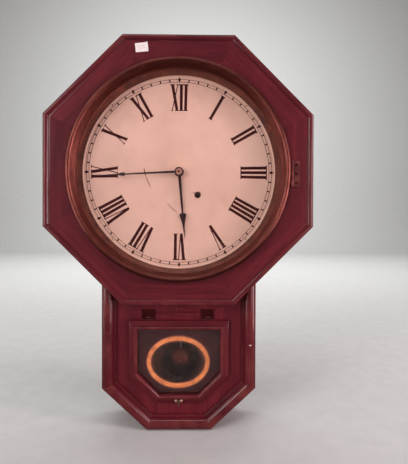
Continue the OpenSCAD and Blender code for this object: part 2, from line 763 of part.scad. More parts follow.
module escape_wheel() color(brass) about_dial() translate([escape_at[0], 0, escape_at[1]])
    slab(gap_low + 24, 1.2) difference() {
        polygon([for (i = [0:escape_teeth - 1]) let (a = 360 * i / escape_teeth)
            each [11 * [cos(a - 2), sin(a - 2)], escape_r * [cos(a), sin(a)],
                11 * [cos(a + 5), sin(a + 5)]]]);
        crossings(3.2, 9, 4, 2);
        circle(1.1);
    }

module second_arbor() color(steel) about_dial() union() {
    leaves(second_at, second_leaves, m_main, 0, gap_low + 9.2, 5);
    cyl_y(second_at, second_pivot_r, back_plate_h, front_h - back_plate_h);
    cyl_y(second_at, 1.8, gap_low + 0.4, front_plate_h - gap_low - 0.8);
}

module second_wheel() color(brass) about_dial()
    spoked_wheel(second_at, second_teeth, m_second, second_phase, gap_low + 3.5, 1.5, 1.8, 5);

module main_wheel() color(brass) about_dial() union() {
    spoked_wheel(winding_at, main_teeth, m_main, main_phase, main_wheel_h, 2, winding_r + run, 20, 5);
    cyl_y(winding_at + click_pivot, 1.2, ratchet_h, main_wheel_h - ratchet_h);
}

module click_spring() color(steel) about_dial() at_winding()
    slab(ratchet_h + 0.5, main_wheel_h - ratchet_h - 0.5) difference() {
        intersection() {
            circle(19);
            polygon([[0, 0], 40 * [cos(5), sin(5)], 40 * [cos(60), sin(60)]]);
        }
        circle(18.2);
    }

module click() color(steel) about_dial() at_winding()
    slab(ratchet_h, ratchet_t) difference() {
        union() {
            translate(click_pivot) circle(2.6);
            polygon([click_pivot + [-2.5, 0.6], click_pivot + [2.5, 0.6], 16 * [cos(6), sin(6)],
                (ratchet_r + 0.4) * [cos(18), sin(18)]]);
        }
        translate(click_pivot) circle(1.2 + run);
        circle(ratchet_r + 0.35);
    }

module winding_arbor() color(steel) about_dial() at_winding() union() {
    cyl_y([0, 0], winding_pivot_r, back_plate_h, plate_t + 0.5);
    cyl_y([0, 0], winding_r, gap_low + 0.3, front_h + 0.7 - gap_low - 0.3);
    cyl_y([0, 0], 5, main_wheel_h + 4.4, 15.2);
    slab(front_h + 0.6, 9.6) square(4.2, center = true);
}

module ratchet_wheel() color(steel) about_dial() at_winding() slab(ratchet_h, ratchet_t)
    difference() {
        polygon([for (i = [0:ratchet_teeth - 1]) let (a = 360 * i / ratchet_teeth)
            each [8.8 * [cos(a), sin(a)], ratchet_r * [cos(a + 0.5), sin(a + 0.5)]]]);
        circle(winding_r);
    }

// --- Movement: motion work ---

module cannon_pinion() color(brass) about_dial() difference() {
    union() {
        cyl_y(centre_at, cannon_r, cannon_h, minute_hand_h + hand_t - cannon_h);
        leaves(centre_at, cannon_leaves, m_cannon, 0, cannon_h + 0.3, 3);
    }
    cyl_y(centre_at, centre_front_r, cannon_h - 1, 30);
}

module minute_wheel() color(brass) about_dial() difference() {
    union() {
        leaves(minute_wheel_at, minute_leaves, m_hour, 0, cannon_h + 2, 6);
        spoked_wheel(minute_wheel_at, minute_teeth, m_cannon, minute_phase, cannon_h + 0.8, 1.4,
            stud_r + run, 4, 3);
    }
    cyl_y(minute_wheel_at, stud_r + run, cannon_h - 1, 12);
}

module hour_wheel() color(brass) about_dial() difference() {
    union() {
        spoked_wheel(centre_at, hour_teeth, m_hour, hour_phase, hour_wheel_h, 1.4, 2, 5, 3);
        cyl_y(centre_at, hour_pipe_r, hour_wheel_h, hour_hand_h + hand_t + 0.6 - hour_wheel_h);
    }
    cyl_y(centre_at, cannon_r + 0.08, hour_wheel_h - 1, 20);
}

// --- Escapement and pendulum, hung on one line ---

// Curved strip over the escape wheel, clear of its teeth through the whole swing
module verge() color(steel) about_dial() translate([0, 0, escape_at[1]])
    slab(gap_low + 23.6, 2) difference() {
        union() {
            intersection() {
                circle(18);
                polygon([[0, 0], polar(40, -52), polar(40, 0), polar(40, 52)]);
            }
            translate([0, verge_at[1] - escape_at[1]]) circle(2.6);
        }
        circle(escape_r + 1.7);
        translate([0, verge_at[1] - escape_at[1]]) circle(verge_back_r);
    }

module verge_arbor() color(steel) about_dial() union() {
    cyl_y(verge_at, verge_front_r, front_plate_h - 0.5, plate_t + 0.5);
    cyl_y(verge_at, verge_back_r, crutch_h - 1, front_plate_h - 0.4 - crutch_h + 1);
}

module crutch() color(steel) about_dial() difference() {
    union() {
        cyl_y(verge_at, 2.5, crutch_h - 1, 2.6);
        cyl_z(0, crutch_h, pivot_z - crutch_len, crutch_r, crutch_len - 1);
        cyl_x(-2.6, crutch_h, pivot_z - crutch_len, crutch_r, 5.2);
        for (x = [-2.6, 2.6])
            cyl_y([x, pivot_z - crutch_len], crutch_r, pendulum_h - 4, crutch_h + 4 - pendulum_h);
    }
    cyl_y(verge_at, verge_back_r, crutch_h - 2, 6);
}

module suspension_spring() color(steel) about_dial() union() {
    slab(pendulum_h - spring_w / 2, spring_w) translate([-0.15, pivot_z - 14]) square([0.3, 21]);
    slab(pendulum_h - spring_w / 2 - 0.5, spring_w + 1)
        translate([-2, rod_top_z]) square([4, 6.5]);
}

module pendulum_rod() color(steel) about_dial() union() {
    thread_z = nut_z - 8;
    cyl_z(0, pendulum_h, bob_z - bob_d / 4, rod_r, rod_top_z - bob_z + bob_d / 4);
    cyl_z(0, pendulum_h, thread_z, thread_r, bob_z - bob_d / 4 - thread_z + 0.5);
}

// Lens-shaped bob that slides on the rod
module pendulum_bob() color(brass) about_dial() difference() {
    lens_r = (bob_d * bob_d / 4 + bob_t * bob_t / 4) / bob_t;
    intersection() {
        translate([0, bob_t / 2 - lens_r - pendulum_h, bob_z]) sphere(r = lens_r, $fn = FINE);
        translate([0, lens_r - bob_t / 2 - pendulum_h, bob_z]) sphere(r = lens_r, $fn = FINE);
        cyl_y([0, bob_z], bob_d / 2 - 0.5, pendulum_h - bob_t, 2 * bob_t);
    }
    cyl_z(0, pendulum_h, bob_z - bob_d, rod_r + 0.1, 2 * bob_d);
}

module rating_nut() color(brass) about_dial() difference() {
    translate([0, -pendulum_h, nut_z]) cylinder(r = 5, h = nut_t, $fn = 8);
    cyl_z(0, pendulum_h, nut_z - 1, thread_r + run, nut_t + 2);
}

// --- The assembly ---

backboard();
case_side_left();
case_side_right();
case_top();
case_bottom();
case_diagonal_left();
case_diagonal_right();
octagon_frame();
drop_moulding();
drop_panel();
seat_rails();
hanger_plate();
case_screws();
dial_pan();
bezel_hinge_leaf();
door_hinge_leaves();
hinge_pins();
paper_sticker();
front_plate();
back_plate();
plate_pillars();
pillar_nuts();
movement_screws();
suspension_cock();
mainspring();
minute_stud();
centre_arbor();
centre_wheel();
cannon_pinion();
minute_hand();
hand_washer();
hour_wheel();
hour_hand();
minute_wheel();
third_arbor();
third_wheel();
escape_arbor();
escape_wheel();
second_arbor();
second_wheel();
main_wheel();
click_spring();
click();
winding_arbor();
ratchet_wheel();
verge();
verge_arbor();
crutch();
suspension_spring();
pendulum_rod();
pendulum_bob();
rating_nut();
bezel_ring();
bezel_glass();
bezel_hinge_flap();
door_frame();
door_glass();
door_hinge_flaps();
latch_plate();
door_latch();
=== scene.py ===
import math

import bmesh
import bpy
from mathutils import Matrix, Vector
from mathutils.geometry import tessellate_polygon


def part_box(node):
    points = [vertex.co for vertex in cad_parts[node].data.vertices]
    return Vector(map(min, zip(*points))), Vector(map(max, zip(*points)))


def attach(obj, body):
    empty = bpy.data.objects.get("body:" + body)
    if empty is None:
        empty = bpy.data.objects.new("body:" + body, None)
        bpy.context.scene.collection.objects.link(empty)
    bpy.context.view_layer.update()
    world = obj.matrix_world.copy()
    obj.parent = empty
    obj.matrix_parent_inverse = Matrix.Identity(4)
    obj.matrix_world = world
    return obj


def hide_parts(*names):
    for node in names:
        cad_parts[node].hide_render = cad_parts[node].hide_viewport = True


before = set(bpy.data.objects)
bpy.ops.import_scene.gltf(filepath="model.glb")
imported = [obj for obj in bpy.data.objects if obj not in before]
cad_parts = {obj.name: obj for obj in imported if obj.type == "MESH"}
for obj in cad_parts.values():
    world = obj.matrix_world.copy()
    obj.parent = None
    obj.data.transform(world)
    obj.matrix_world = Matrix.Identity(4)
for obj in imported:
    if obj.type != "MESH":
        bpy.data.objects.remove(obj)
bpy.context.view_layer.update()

MM = 0.001
QUARTER = math.pi / 2

# ---------------------------------------------------------------- places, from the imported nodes


def middle(node):
    lo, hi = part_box(node)
    return (lo + hi) / 2


def front_of(node):
    """Height of a node's front over the wall, in millimetres."""
    return -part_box(node)[0].y / MM


def back_of(node):
    return -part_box(node)[1].y / MM


DIAL = Vector((middle("dial_pan").x, 0, middle("dial_pan").z))
OCT_LO, OCT_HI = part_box("octagon_frame")
APOTHEM = (OCT_HI.x - OCT_LO.x) / 2 / MM
OCT_BACK = back_of("octagon_frame")
BEAD = 10.0                            # width of the octagon's bead
BEAD_R = BEAD / 2
BEAD_RISE = 2.5                        # how far the bead stands over the octagon's flat
BEAD_H = front_of("octagon_frame") - BEAD_R
OCT_FLAT = front_of("octagon_frame") - BEAD_RISE
BORE_R = 163.0                         # bore that the bezel's sleeve enters
LIP_R, LIP_T = 112.0, 5.0              # opening and thickness of the lip that the dial is nailed to
DROP_W = (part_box("drop_moulding")[1].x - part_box("drop_moulding")[0].x) / MM
DROP_LOW = (DIAL.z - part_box("drop_moulding")[0].z) / MM
DROP_FOOT = 104.0                      # width of the drop at its foot
DROP_CUT_H = 66.5                      # height of the drop's bottom diagonals
MOULD_W = 22.0                         # width of the moulding round the drop
MOULD_BACK = back_of("drop_moulding")
DIAL_H = 77.8                          # face of the dial
BEZEL_R = (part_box("bezel_ring")[1].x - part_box("bezel_ring")[0].x) / 2 / MM
CREST_R = 4.0                          # the round of the bezel's outer edge
SKIRT_R, SKIRT_H = 172.2, 98.8         # its foot, which lies on the octagon
REED_R = 164.6                         # where its reeded slope starts, and the slope's two heights
REED_HIGH, REED_LOW = 103.4, 97.0
SIGHT_R, LIP_ROUND = 159.5, 0.75       # its clear opening, and the round of the lip there
PANE_R, PANE_FRONT, PANE_BACK = 161.6, 95.05, 93.0
KEEPER_R = 159.6                       # ring that holds the glass from behind
SLEEVE_R, SLEEVE_BACK = 162.2, 91.4
DOOR_LO, DOOR_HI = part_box("door_frame")
GLASS_BACK = back_of("door_glass")


def at(x, h, z):
    """A point across and up from the dial's centre and h over the wall, in metres."""
    return Vector((x * MM, -h * MM, z * MM)) + DIAL


# ---------------------------------------------------------------- materials


class Look:
    """A material being wired: each method adds a node and returns the socket that it gives."""

    def __init__(self, name, **plain):
        self.mat = bpy.data.materials.new(name)
        self.mat.use_nodes = True
        self.tree = self.mat.node_tree
        self.tree.nodes.clear()
        self.out = self.node("OutputMaterial")
        self.shader = self.node("BsdfPrincipled")
        self.tree.links.new(self.shader.outputs["BSDF"], self.out.inputs["Surface"])
        for key, value in plain.items():
            self.shader.inputs[key.replace("_", " ").title().replace("Ior", "IOR")].default_value = value
        self._object = None

    def node(self, kind, **attrs):
        n = self.tree.nodes.new("ShaderNode" + kind)
        for key, value in attrs.items():
            setattr(n, key, value)
        return n

    def put(self, socket, value):
        if isinstance(value, bpy.types.NodeSocket):
            self.tree.links.new(value, socket)
        else:
            socket.default_value = value

    def set(self, name, value):
        self.put(self.shader.inputs[name], value)

    def position(self):
        if self._object is None:
            self._object = self.node("TexCoord").outputs["Object"]
        return self._object

    def mapped(self, vector, scale=(1, 1, 1), rotation=(0, 0, 0), location=(0, 0, 0)):
        n = self.node("Mapping")
        self.put(n.inputs["Vector"], vector)
        n.inputs["Scale"].default_value = scale
        n.inputs["Rotation"].default_value = rotation
        n.inputs["Location"].default_value = location
        return n.outputs["Vector"]

    def noise(self, vector, scale, detail=3.0, rough=0.55, distortion=0.0):
        n = self.node("TexNoise")
        self.put(n.inputs["Vector"], vector)
        n.inputs["Scale"].default_value = scale
        n.inputs["Detail"].default_value = detail
        n.inputs["Roughness"].default_value = rough
        n.inputs["Distortion"].default_value = distortion
        return n.outputs["Fac"]

    def cells(self, vector, scale):
        n = self.node("TexVoronoi", feature="DISTANCE_TO_EDGE")
        self.put(n.inputs["Vector"], vector)
        n.inputs["Scale"].default_value = scale
        return n.outputs["Distance"]

    def math(self, op, a, b=0.0, c=0.0, clamp=False):
        n = self.node("Math", operation=op, use_clamp=clamp)
        for socket, value in zip(n.inputs, (a, b, c)):
            self.put(socket, value)
        return n.outputs[0]

    def span(self, value, low, high, to_low=0.0, to_high=1.0):
        n = self.node("MapRange")
        self.put(n.inputs["Value"], value)
        for key, v in (("From Min", low), ("From Max", high), ("To Min", to_low), ("To Max", to_high)):
            n.inputs[key].default_value = v
        return n.outputs["Result"]

    def ramp(self, factor, *stops):
        n = self.node("ValToRGB")
        self.put(n.inputs["Fac"], factor)
        marks = n.color_ramp.elements
        while len(marks) < len(stops):
            marks.new(0.5)
        for mark, (place, colour) in zip(marks, stops):
            mark.position = place
            mark.color = (*colour, 1.0)
        return n.outputs["Color"]

    def mix(self, factor, a, b, blend="MIX"):
        n = self.node("MixRGB", blend_type=blend)
        for socket, value in zip(n.inputs, (factor, a, b)):
            self.put(socket, (*value, 1.0) if isinstance(value, tuple) else value)
        return n.outputs["Color"]

    def over(self, colour, mask, strength, shade):
        """A shade laid over a colour where the mask is."""
        return self.mix(self.math("MULTIPLY", mask, strength), colour, shade)

    def attribute(self, name):
        return self.node("Attribute", attribute_name=name).outputs["Fac"]

    def bump(self, *layers):
        """Each layer is a height, its strength and its depth in millimetres."""
        normal = None
        for height, strength, depth in layers:
            n = self.node("Bump")
            n.inputs["Strength"].default_value = strength
            n.inputs["Distance"].default_value = depth * MM
            self.put(n.inputs["Height"], height)
            if normal is not None:
                self.put(n.inputs["Normal"], normal)
            normal = n.outputs["Normal"]
        self.set("Normal", normal)

    def axes(self, vector):
        n = self.node("SeparateXYZ")
        self.put(n.inputs[0], vector)
        return n.outputs

    def vector(self, x, y, z):
        n = self.node("CombineXYZ")
        for socket, value in zip(n.inputs, (x, y, z)):
            self.put(socket, value)
        return n.outputs[0]

    def from_dial(self):
        """The place from the dial's centre, its x and z, and its distance from the dial's axis."""
        p = self.mapped(self.position(), location=tuple(-c for c in DIAL))
        x, _, z = self.axes(p)
        squares = self.math("ADD", self.math("MULTIPLY", x, x), self.math("MULTIPLY", z, z))
        return p, x, z, self.math("SQRT", squares)


def varnished(name, rotation=(0, 0, 0), worn=True, tone=1.0):
    """Dark red rosewood veneer under old gloss varnish. Its grain runs along x after the rotation."""
    m = Look(name, coat_roughness=0.10, specular_ior_level=0.15)
    p = m.mapped(m.position(), rotation=rotation)
    drift = m.noise(m.mapped(p, (5, 14, 14)), 1.0, 2.0)
    x, y, z = m.axes(p)
    wavy = m.vector(x, m.math("MULTIPLY_ADD", drift, 0.02, y), m.math("MULTIPLY_ADD", drift, 0.02, z))
    figure = m.noise(m.mapped(wavy, (4, 70, 70)), 1.0, 4.0, 0.6, 0.4)
    fibre = m.noise(m.mapped(wavy, (28, 1100, 1100)), 1.0, 3.0, 0.6)
    pores = m.noise(m.mapped(wavy, (120, 2300, 2300), location=(3, 1, 2)), 1.0, 2.0, 0.5)
    cloud = m.noise(m.mapped(p, location=(0.3, 0.1, 0.7)), 14.0, 3.0, 0.6)
    grain = m.math("ADD", m.math("MULTIPLY", figure, 0.55), m.math("MULTIPLY", fibre, 0.25))
    grain = m.math("ADD", grain, m.math("MULTIPLY", cloud, 0.2))
    shades = ((0.30, (0.044, 0.0030, 0.0064)), (0.44, (0.096, 0.0066, 0.0130)),
              (0.55, (0.130, 0.0100, 0.0175)), (0.70, (0.190, 0.0160, 0.0230)))
    colour = m.ramp(grain, *((place, tuple(c * tone for c in shade)) for place, shade in shades))
    pit = m.span(pores, 0.60, 0.70)
    colour = m.over(colour, pit, 0.55, (0.018, 0.003, 0.005))
    haze = m.noise(m.mapped(p, location=(4, 2, 9)), 30.0, 5.0, 0.65)
    if worn:
        rub = m.math("MULTIPLY", m.attribute("wear"), m.span(haze, 0.40, 0.62), clamp=True)
        colour = m.over(colour, rub, 0.75, (0.235, 0.050, 0.038))
    m.set("Base Color", colour)
    m.set("Roughness", m.span(haze, 0.3, 0.7, 0.42, 0.62))
    m.set("Coat Weight", m.span(haze, 0.35, 0.7, 0.80, 0.50))
    crackle = m.span(m.cells(m.mapped(p, (1, 1.6, 1.6)), 95.0), 0.0, 0.045)
    swell = m.noise(p, 60.0, 2.0, 0.5)
    m.bump((swell, 0.35, 0.25), (crackle, 0.12, 0.06), (pit, 0.30, -0.05), (fibre, 0.12, 0.04))
    return m.mat


def raw_pine(name, rotation=(0, 0, 0)):
    """Old unfinished pine, grey-brown with dust, saw marks across the grain."""
    m = Look(name, specular_ior_level=0.25)
    p = m.mapped(m.position(), rotation=rotation)
    drift = m.noise(m.mapped(p, (2.5, 9, 9)), 1.0, 2.0)
    x, y, z = m.axes(p)
    wavy = m.vector(x, m.math("MULTIPLY_ADD", drift, 0.05, y), m.math("MULTIPLY_ADD", drift, 0.03, z))
    rings = m.noise(m.mapped(wavy, (1.6, 90, 90)), 1.0, 3.0, 0.55)
    fibre = m.noise(m.mapped(wavy, (30, 900, 900)), 1.0, 3.0, 0.6)
    colour = m.ramp(rings, (0.32, (0.36, 0.160, 0.092)), (0.52, (0.28, 0.115, 0.066)),
                    (0.66, (0.17, 0.064, 0.036)))
    dust = m.span(m.noise(p, 9.0, 5.0, 0.7), 0.42, 0.72)
    colour = m.over(colour, dust, 0.55, (0.125, 0.068, 0.050))
    colour = m.over(colour, fibre, 0.35, (0.12, 0.07, 0.04))
    m.set("Base Color", colour)
    m.set("Roughness", m.span(fibre, 0.3, 0.7, 0.72, 0.92))
    saw = m.noise(m.mapped(p, (420, 3, 3)), 1.0, 2.0)
    m.bump((rings, 0.3, 0.20), (fibre, 0.5, 0.12), (saw, 0.2, 0.10))
    return m.mat


def spun_brass(name):
    """The bezel: spun brass, brown with age, with turning lines round the dial's axis. Its inner slope is
    painted darker: painted shade for the shadow on the slope that faces in."""
    m = Look(name, metallic=1.0, specular_ior_level=0.5, anisotropic=0.35, coat_roughness=0.3)
    _, x, z, r = m.from_dial()
    ring = m.vector(m.math("DIVIDE", x, r), m.math("DIVIDE", z, r), m.math("MULTIPLY", r, 30.0))
    lines = m.noise(m.mapped(ring, (1.2, 1.2, 90)), 1.0, 3.0, 0.6)
    stain = m.noise(m.mapped(ring, (5.0, 5.0, 6)), 1.0, 6.0, 0.66, 0.6)
    spots = m.span(m.noise(m.position(), 260.0, 4.0, 0.6), 0.56, 0.70)
    colour = m.ramp(stain, (0.30, (0.130, 0.029, 0.023)), (0.46, (0.175, 0.041, 0.032)),
                    (0.58, (0.225, 0.056, 0.043)), (0.74, (0.29, 0.080, 0.060)))
    colour = m.over(colour, lines, 0.35, (0.12, 0.032, 0.022))
    colour = m.over(colour, spots, 0.5, (0.050, 0.014, 0.011))
    wear = m.math("MULTIPLY", m.attribute("wear"), m.span(stain, 0.36, 0.6), clamp=True)
    colour = m.over(colour, wear, 0.7, (0.38, 0.125, 0.115))
    # Painted shade: inside the start of the reeds the brass is painted darker (and made rougher), standing in
    # for the shadow on the bezel's inner slope.
    inner = m.span(r, (REED_R + 1.0) * MM, (REED_R - 0.6) * MM)
    colour = m.over(colour, inner, 0.66, (0.095, 0.016, 0.010))
    m.set("Base Color", colour)
    m.set("Roughness", m.math("ADD", m.span(stain, 0.3, 0.72, 0.46, 0.32), m.math("MULTIPLY", inner, 0.12)))
    m.set("Coat Weight", 0.12)
    m.bump((lines, 0.22, 0.05), (spots, 0.25, -0.03), (m.noise(m.position(), 45.0, 2.0), 0.15, 0.15))
    return m.mat


def metal(name, deep, mid, bright, low_rough, high_rough):
    """Old worked metal: brush marks, tarnish clouds and dark specks."""
    m = Look(name, metallic=1.0)
    p = m.position()
    cloud = m.noise(p, 55.0, 5.0, 0.62, 0.3)
    marks = m.noise(m.mapped(p, (900, 40, 40)), 1.0, 3.0, 0.6)
    specks = m.span(m.noise(p, 480.0, 3.0), 0.60, 0.70)
    colour = m.ramp(cloud, (0.32, deep), (0.50, mid), (0.68, bright))
    colour = m.over(colour, specks, 0.4, tuple(c * 0.35 for c in deep))
    m.set("Base Color", colour)
    rough = m.span(cloud, 0.3, 0.7, high_rough, low_rough)
    m.set("Roughness", m.math("ADD", rough, m.math("MULTIPLY", marks, 0.08)))
    m.bump((marks, 0.18, 0.03), (specks, 0.2, -0.02))
    return m.mat


def enamel(name):
    """The dial's painted zinc: cream, browner to the rim and the holes, crazed, with rubbed marks."""
    m = Look(name, specular_ior_level=0.45, coat_roughness=0.25)
    p, _, _, r = m.from_dial()
    cloud = m.noise(p, 13.0, 5.0, 0.62)
    fine = m.noise(p, 120.0, 4.0, 0.6)
    colour = m.ramp(cloud, (0.30, (0.500, 0.286, 0.225)), (0.52, (0.555, 0.320, 0.256)),
                    (0.72, (0.585, 0.350, 0.284)))
    rim = m.math("MULTIPLY", m.span(r, 0.128, 0.155), m.span(fine, 0.3, 0.65), clamp=True)
    colour = m.over(colour, rim, 0.30, (0.62, 0.34, 0.24))
    hub = m.math("MULTIPLY", m.span(r, 0.030, 0.006), m.span(cloud, 0.25, 0.7), clamp=True)
    colour = m.over(colour, hub, 0.40, (0.66, 0.36, 0.22))
    specks = m.span(m.noise(p, 520.0, 2.0), 0.685, 0.74)
    colour = m.over(colour, specks, 0.5, (0.30, 0.13, 0.07))
    craze = m.span(m.cells(p, 62.0), 0.0, 0.018)
    faint = m.math("MULTIPLY", m.math("SUBTRACT", 1.0, craze), m.span(cloud, 0.45, 0.7), clamp=True)
    colour = m.over(colour, faint, 0.22, (0.52, 0.28, 0.19))
    m.set("Base Color", colour)
    m.set("Roughness", m.span(fine, 0.3, 0.7, 0.42, 0.58))
    m.set("Coat Weight", 0.12)
    m.bump((m.noise(p, 22.0, 2.0), 0.30, 0.35), (craze, 0.10, 0.03), (fine, 0.10, 0.03))
    return m.mat


def plain(name, low, high, rough, scale=180.0, depth=0.03, metallic=0.0, coat=0.0, **more):
    """Two close tones in fine noise, with matching bump, for small and dark pieces."""
    m = Look(name, metallic=metallic, coat_weight=coat, **more)
    fine = m.noise(m.position(), scale, 5.0, 0.62)
    m.set("Base Color", m.ramp(fine, (0.34, low), (0.66, high)))
    m.set("Roughness", m.span(fine, 0.3, 0.7, rough[0], rough[1]))
    m.bump((fine, 0.25, depth))
    return m.mat


def pane(name, tint, rough, **more):
    """Old glass, a little wavy and smeared."""
    m = Look(name, transmission_weight=1.0, ior=1.5, **more)
    smear = m.noise(m.position(), 24.0, 5.0, 0.7, 0.8)
    m.set("Base Color", m.mix(m.span(smear, 0.5, 0.8), tint, tuple(c * 0.94 for c in tint)))
    m.set("Roughness", m.span(smear, 0.5, 0.85, rough, rough + 0.05))
    m.bump((m.noise(m.position(), 9.0, 1.0), 0.12, 0.15))
    return m.mat


def gold_leaf(name):
    """The tablet's stencilled oval: bronze powder, thin in places."""
    m = Look(name, metallic=0.25, coat_weight=0.3, coat_roughness=0.08)
    p = m.position()
    thin = m.noise(p, 90.0, 6.0, 0.7)
    colour = m.ramp(thin, (0.30, (0.40, 0.140, 0.044)), (0.48, (0.66, 0.262, 0.085)),
                    (0.70, (0.88, 0.400, 0.140)))
    m.set("Base Color", colour)
    m.set("Roughness", m.span(thin, 0.3, 0.7, 0.50, 0.36))
    m.bump((thin, 0.2, 0.02))
    return m.mat


def floor_paper(name):
    m = Look(name, specular_ior_level=0.2)
    fine = m.noise(m.position(), 35.0, 4.0, 0.6)
    m.set("Base Color", m.ramp(fine, (0.3, (0.70, 0.71, 0.70)), (0.7, (0.76, 0.77, 0.76))))
    m.set("Roughness", 0.9)
    return m.mat


VENEER = varnished("veneer")
VENEER_UP = varnished("veneer_upright", (0, QUARTER, 0), worn=False, tone=1.15)
# Painted light: the drop panel's copy of the veneer is 1.4 times lighter, making up for the shade that the
# octagon and the moulding cast on the recessed panel.
VENEER_PANEL_PAINTED_LIGHT = varnished("veneer_panel_painted_light", (0, QUARTER, 0), worn=False, tone=1.4)
VENEER_ACROSS = varnished("veneer_across", worn=False)
VENEER_SLOPE_L = varnished("veneer_slope_left", (0, -QUARTER / 2, 0), worn=False)
VENEER_SLOPE_R = varnished("veneer_slope_right", (0, QUARTER / 2, 0), worn=False)
SEAT_WOOD = plain("stained_seat", (0.095, 0.0180, 0.0090), (0.230, 0.044, 0.020), (0.5, 0.7), scale=70.0,
                  depth=0.1)
PINE = raw_pine("pine")
PINE_UP = raw_pine("pine_upright", (0, QUARTER, 0))
BEZEL_BRASS = spun_brass("bezel_brass")
BRASS = metal("brass", (0.36, 0.20, 0.085), (0.58, 0.37, 0.16), (0.72, 0.50, 0.24), 0.24, 0.42)
OLD_BRASS = metal("brass_dull", (0.16, 0.085, 0.055), (0.32, 0.19, 0.125), (0.50, 0.31, 0.20), 0.34, 0.55)
TARNISH = metal("brass_tarnished", (0.075, 0.012, 0.014), (0.125, 0.021, 0.022), (0.19, 0.042, 0.040),
                0.40, 0.60)
HINGE_BRASS = metal("brass_lacquered", (0.14, 0.036, 0.036), (0.21, 0.060, 0.058), (0.32, 0.108, 0.100),
                    0.42, 0.62)
# The bob's brass is tarnished and is also painted darker than the movement's: painted shade for the dim
# inside of the case behind the tablet.
BOB_BRASS_SHADED = metal("bob_brass_shaded", (0.14, 0.034, 0.024), (0.26, 0.070, 0.046), (0.42, 0.130, 0.085), 0.24, 0.38)
POLISHED = metal("brass_rubbed", (0.50, 0.29, 0.22), (0.74, 0.47, 0.38), (0.90, 0.64, 0.54), 0.34, 0.48)
WASHER = metal("washer_brass", (0.30, 0.125, 0.095), (0.48, 0.225, 0.170), (0.62, 0.32, 0.25), 0.38, 0.58)
STEEL = metal("steel", (0.20, 0.19, 0.185), (0.36, 0.355, 0.35), (0.50, 0.495, 0.49), 0.26, 0.45)
BLUED = plain("blued_steel", (0.018, 0.004, 0.006), (0.040, 0.009, 0.012), (0.28, 0.44), metallic=0.5,
              coat=0.2, coat_roughness=0.2)
ENAMEL = enamel("dial_enamel")
INK = plain("dial_black", (0.020, 0.0010, 0.0016), (0.045, 0.0025, 0.0035), (0.5, 0.65), scale=420.0,
            specular_ior_level=0.03)
TRACK_INK = plain("track_black", (0.045, 0.010, 0.010), (0.095, 0.026, 0.022), (0.45, 0.6), scale=600.0,
                  specular_ior_level=0.15)
STAIN = plain("dial_scratch", (0.24, 0.115, 0.062), (0.38, 0.20, 0.125), (0.5, 0.7), scale=700.0)
HOLE_DARK = plain("dark_steel", (0.014, 0.003, 0.003), (0.040, 0.010, 0.009), (0.5, 0.7),
                  specular_ior_level=0.1)
DIAL_GLASS = pane("dial_glass", (0.97, 0.98, 0.975), 0.0, specular_ior_level=0.2)
TABLET_GLASS = pane("tablet_glass", (0.97, 0.80, 0.78), 0.01, specular_ior_level=0.2)
TABLET_BLACK = plain("tablet_black", (0.018, 0.0018, 0.0026), (0.036, 0.0045, 0.0060), (0.40, 0.5),
                     scale=45.0, specular_ior_level=0.15)
GOLD = gold_leaf("tablet_gold")
GOLD_LINE = plain("tablet_line", (0.075, 0.022, 0.014), (0.20, 0.070, 0.036), (0.35, 0.5), scale=140.0)
PAPER = plain("sticker_paper", (0.92, 0.78, 0.77), (0.97, 0.87, 0.86), (0.75, 0.9), scale=900.0, depth=0.02)
PENCIL = plain("faded_pencil", (0.50, 0.36, 0.35), (0.66, 0.50, 0.49), (0.7, 0.9), scale=700.0)
FLOOR = floor_paper("floor_paper")

# ---------------------------------------------------------------- mesh making


def piece(name, verts, faces, mats, body, slot, place=None, wear=None, mat_of=None, bevel=0.0, sharp=38.0):
    """A mesh from points in metres, kept in the local axes of place, that rides on a body. wear is a number
    for each point, and mat_of a material for each face."""
    me = bpy.data.meshes.new(name)
    back = place.inverted() if place else Matrix.Identity(4)
    me.from_pydata([back @ v for v in verts], [], faces)
    for m in mats:
        me.materials.append(m)
    if mat_of:
        me.polygons.foreach_set("material_index", mat_of)
    if wear:
        me.attributes.new("wear", "FLOAT", "POINT").data.foreach_set("value", wear)
    me.shade_smooth()
    me.set_sharp_from_angle(angle=math.radians(sharp))
    me.update()
    ob = bpy.data.objects.new(name, me)
    bpy.context.scene.collection.objects.link(ob)
    if place:
        ob.matrix_world = place
    if bevel:
        soften(ob, bevel)
    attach(ob, body)
    return ob


def soften(ob, width, weld=False):
    """Rounds an object's arrises by width in millimetres."""
    if weld:
        ob.modifiers.new("weld", "WELD").merge_threshold = 0.01 * MM
    b = ob.modifiers.new("soften", "BEVEL")
    b.width, b.segments, b.limit_method = width * MM, 2, "ANGLE"
    b.angle_limit = math.radians(38)
    b.harden_normals = False
    b.use_clamp_overlap = True
    n = ob.modifiers.new("normals", "WEIGHTED_NORMAL")
    n.keep_sharp = True


def unit(v):
    return (v[0] / math.hypot(*v), v[1] / math.hypot(*v))


def inset(pts, d):
    """A convex outline, listed clockwise, moved in by d with its mitres kept true."""
    made = []
    for i, p in enumerate(pts):
        before, after = pts[i - 1], pts[(i + 1) % len(pts)]
        a = unit((p[0] - before[0], p[1] - before[1]))
        b = unit((after[0] - p[0], after[1] - p[1]))
        na, nb = (a[1], -a[0]), (b[1], -b[0])
        k = d / (1 + na[0] * nb[0] + na[1] * nb[1])
        made.append((p[0] + k * (na[0] + nb[0]), p[1] + k * (na[1] + nb[1])))
    return made


def arc(cx, cy, r, a0, a1, steps, wear=0.0, worn=None):
    """Points of a section's round, from a0 to a1 degrees. Only those numbered in worn are worn, where it is
    given."""
    made = []
    for k in range(steps + 1):
        a = math.radians(a0 + (a1 - a0) * k / steps)
        made.append((cx + r * math.cos(a), cy + r * math.sin(a), wear if worn is None or k in worn else 0.0))
    return made


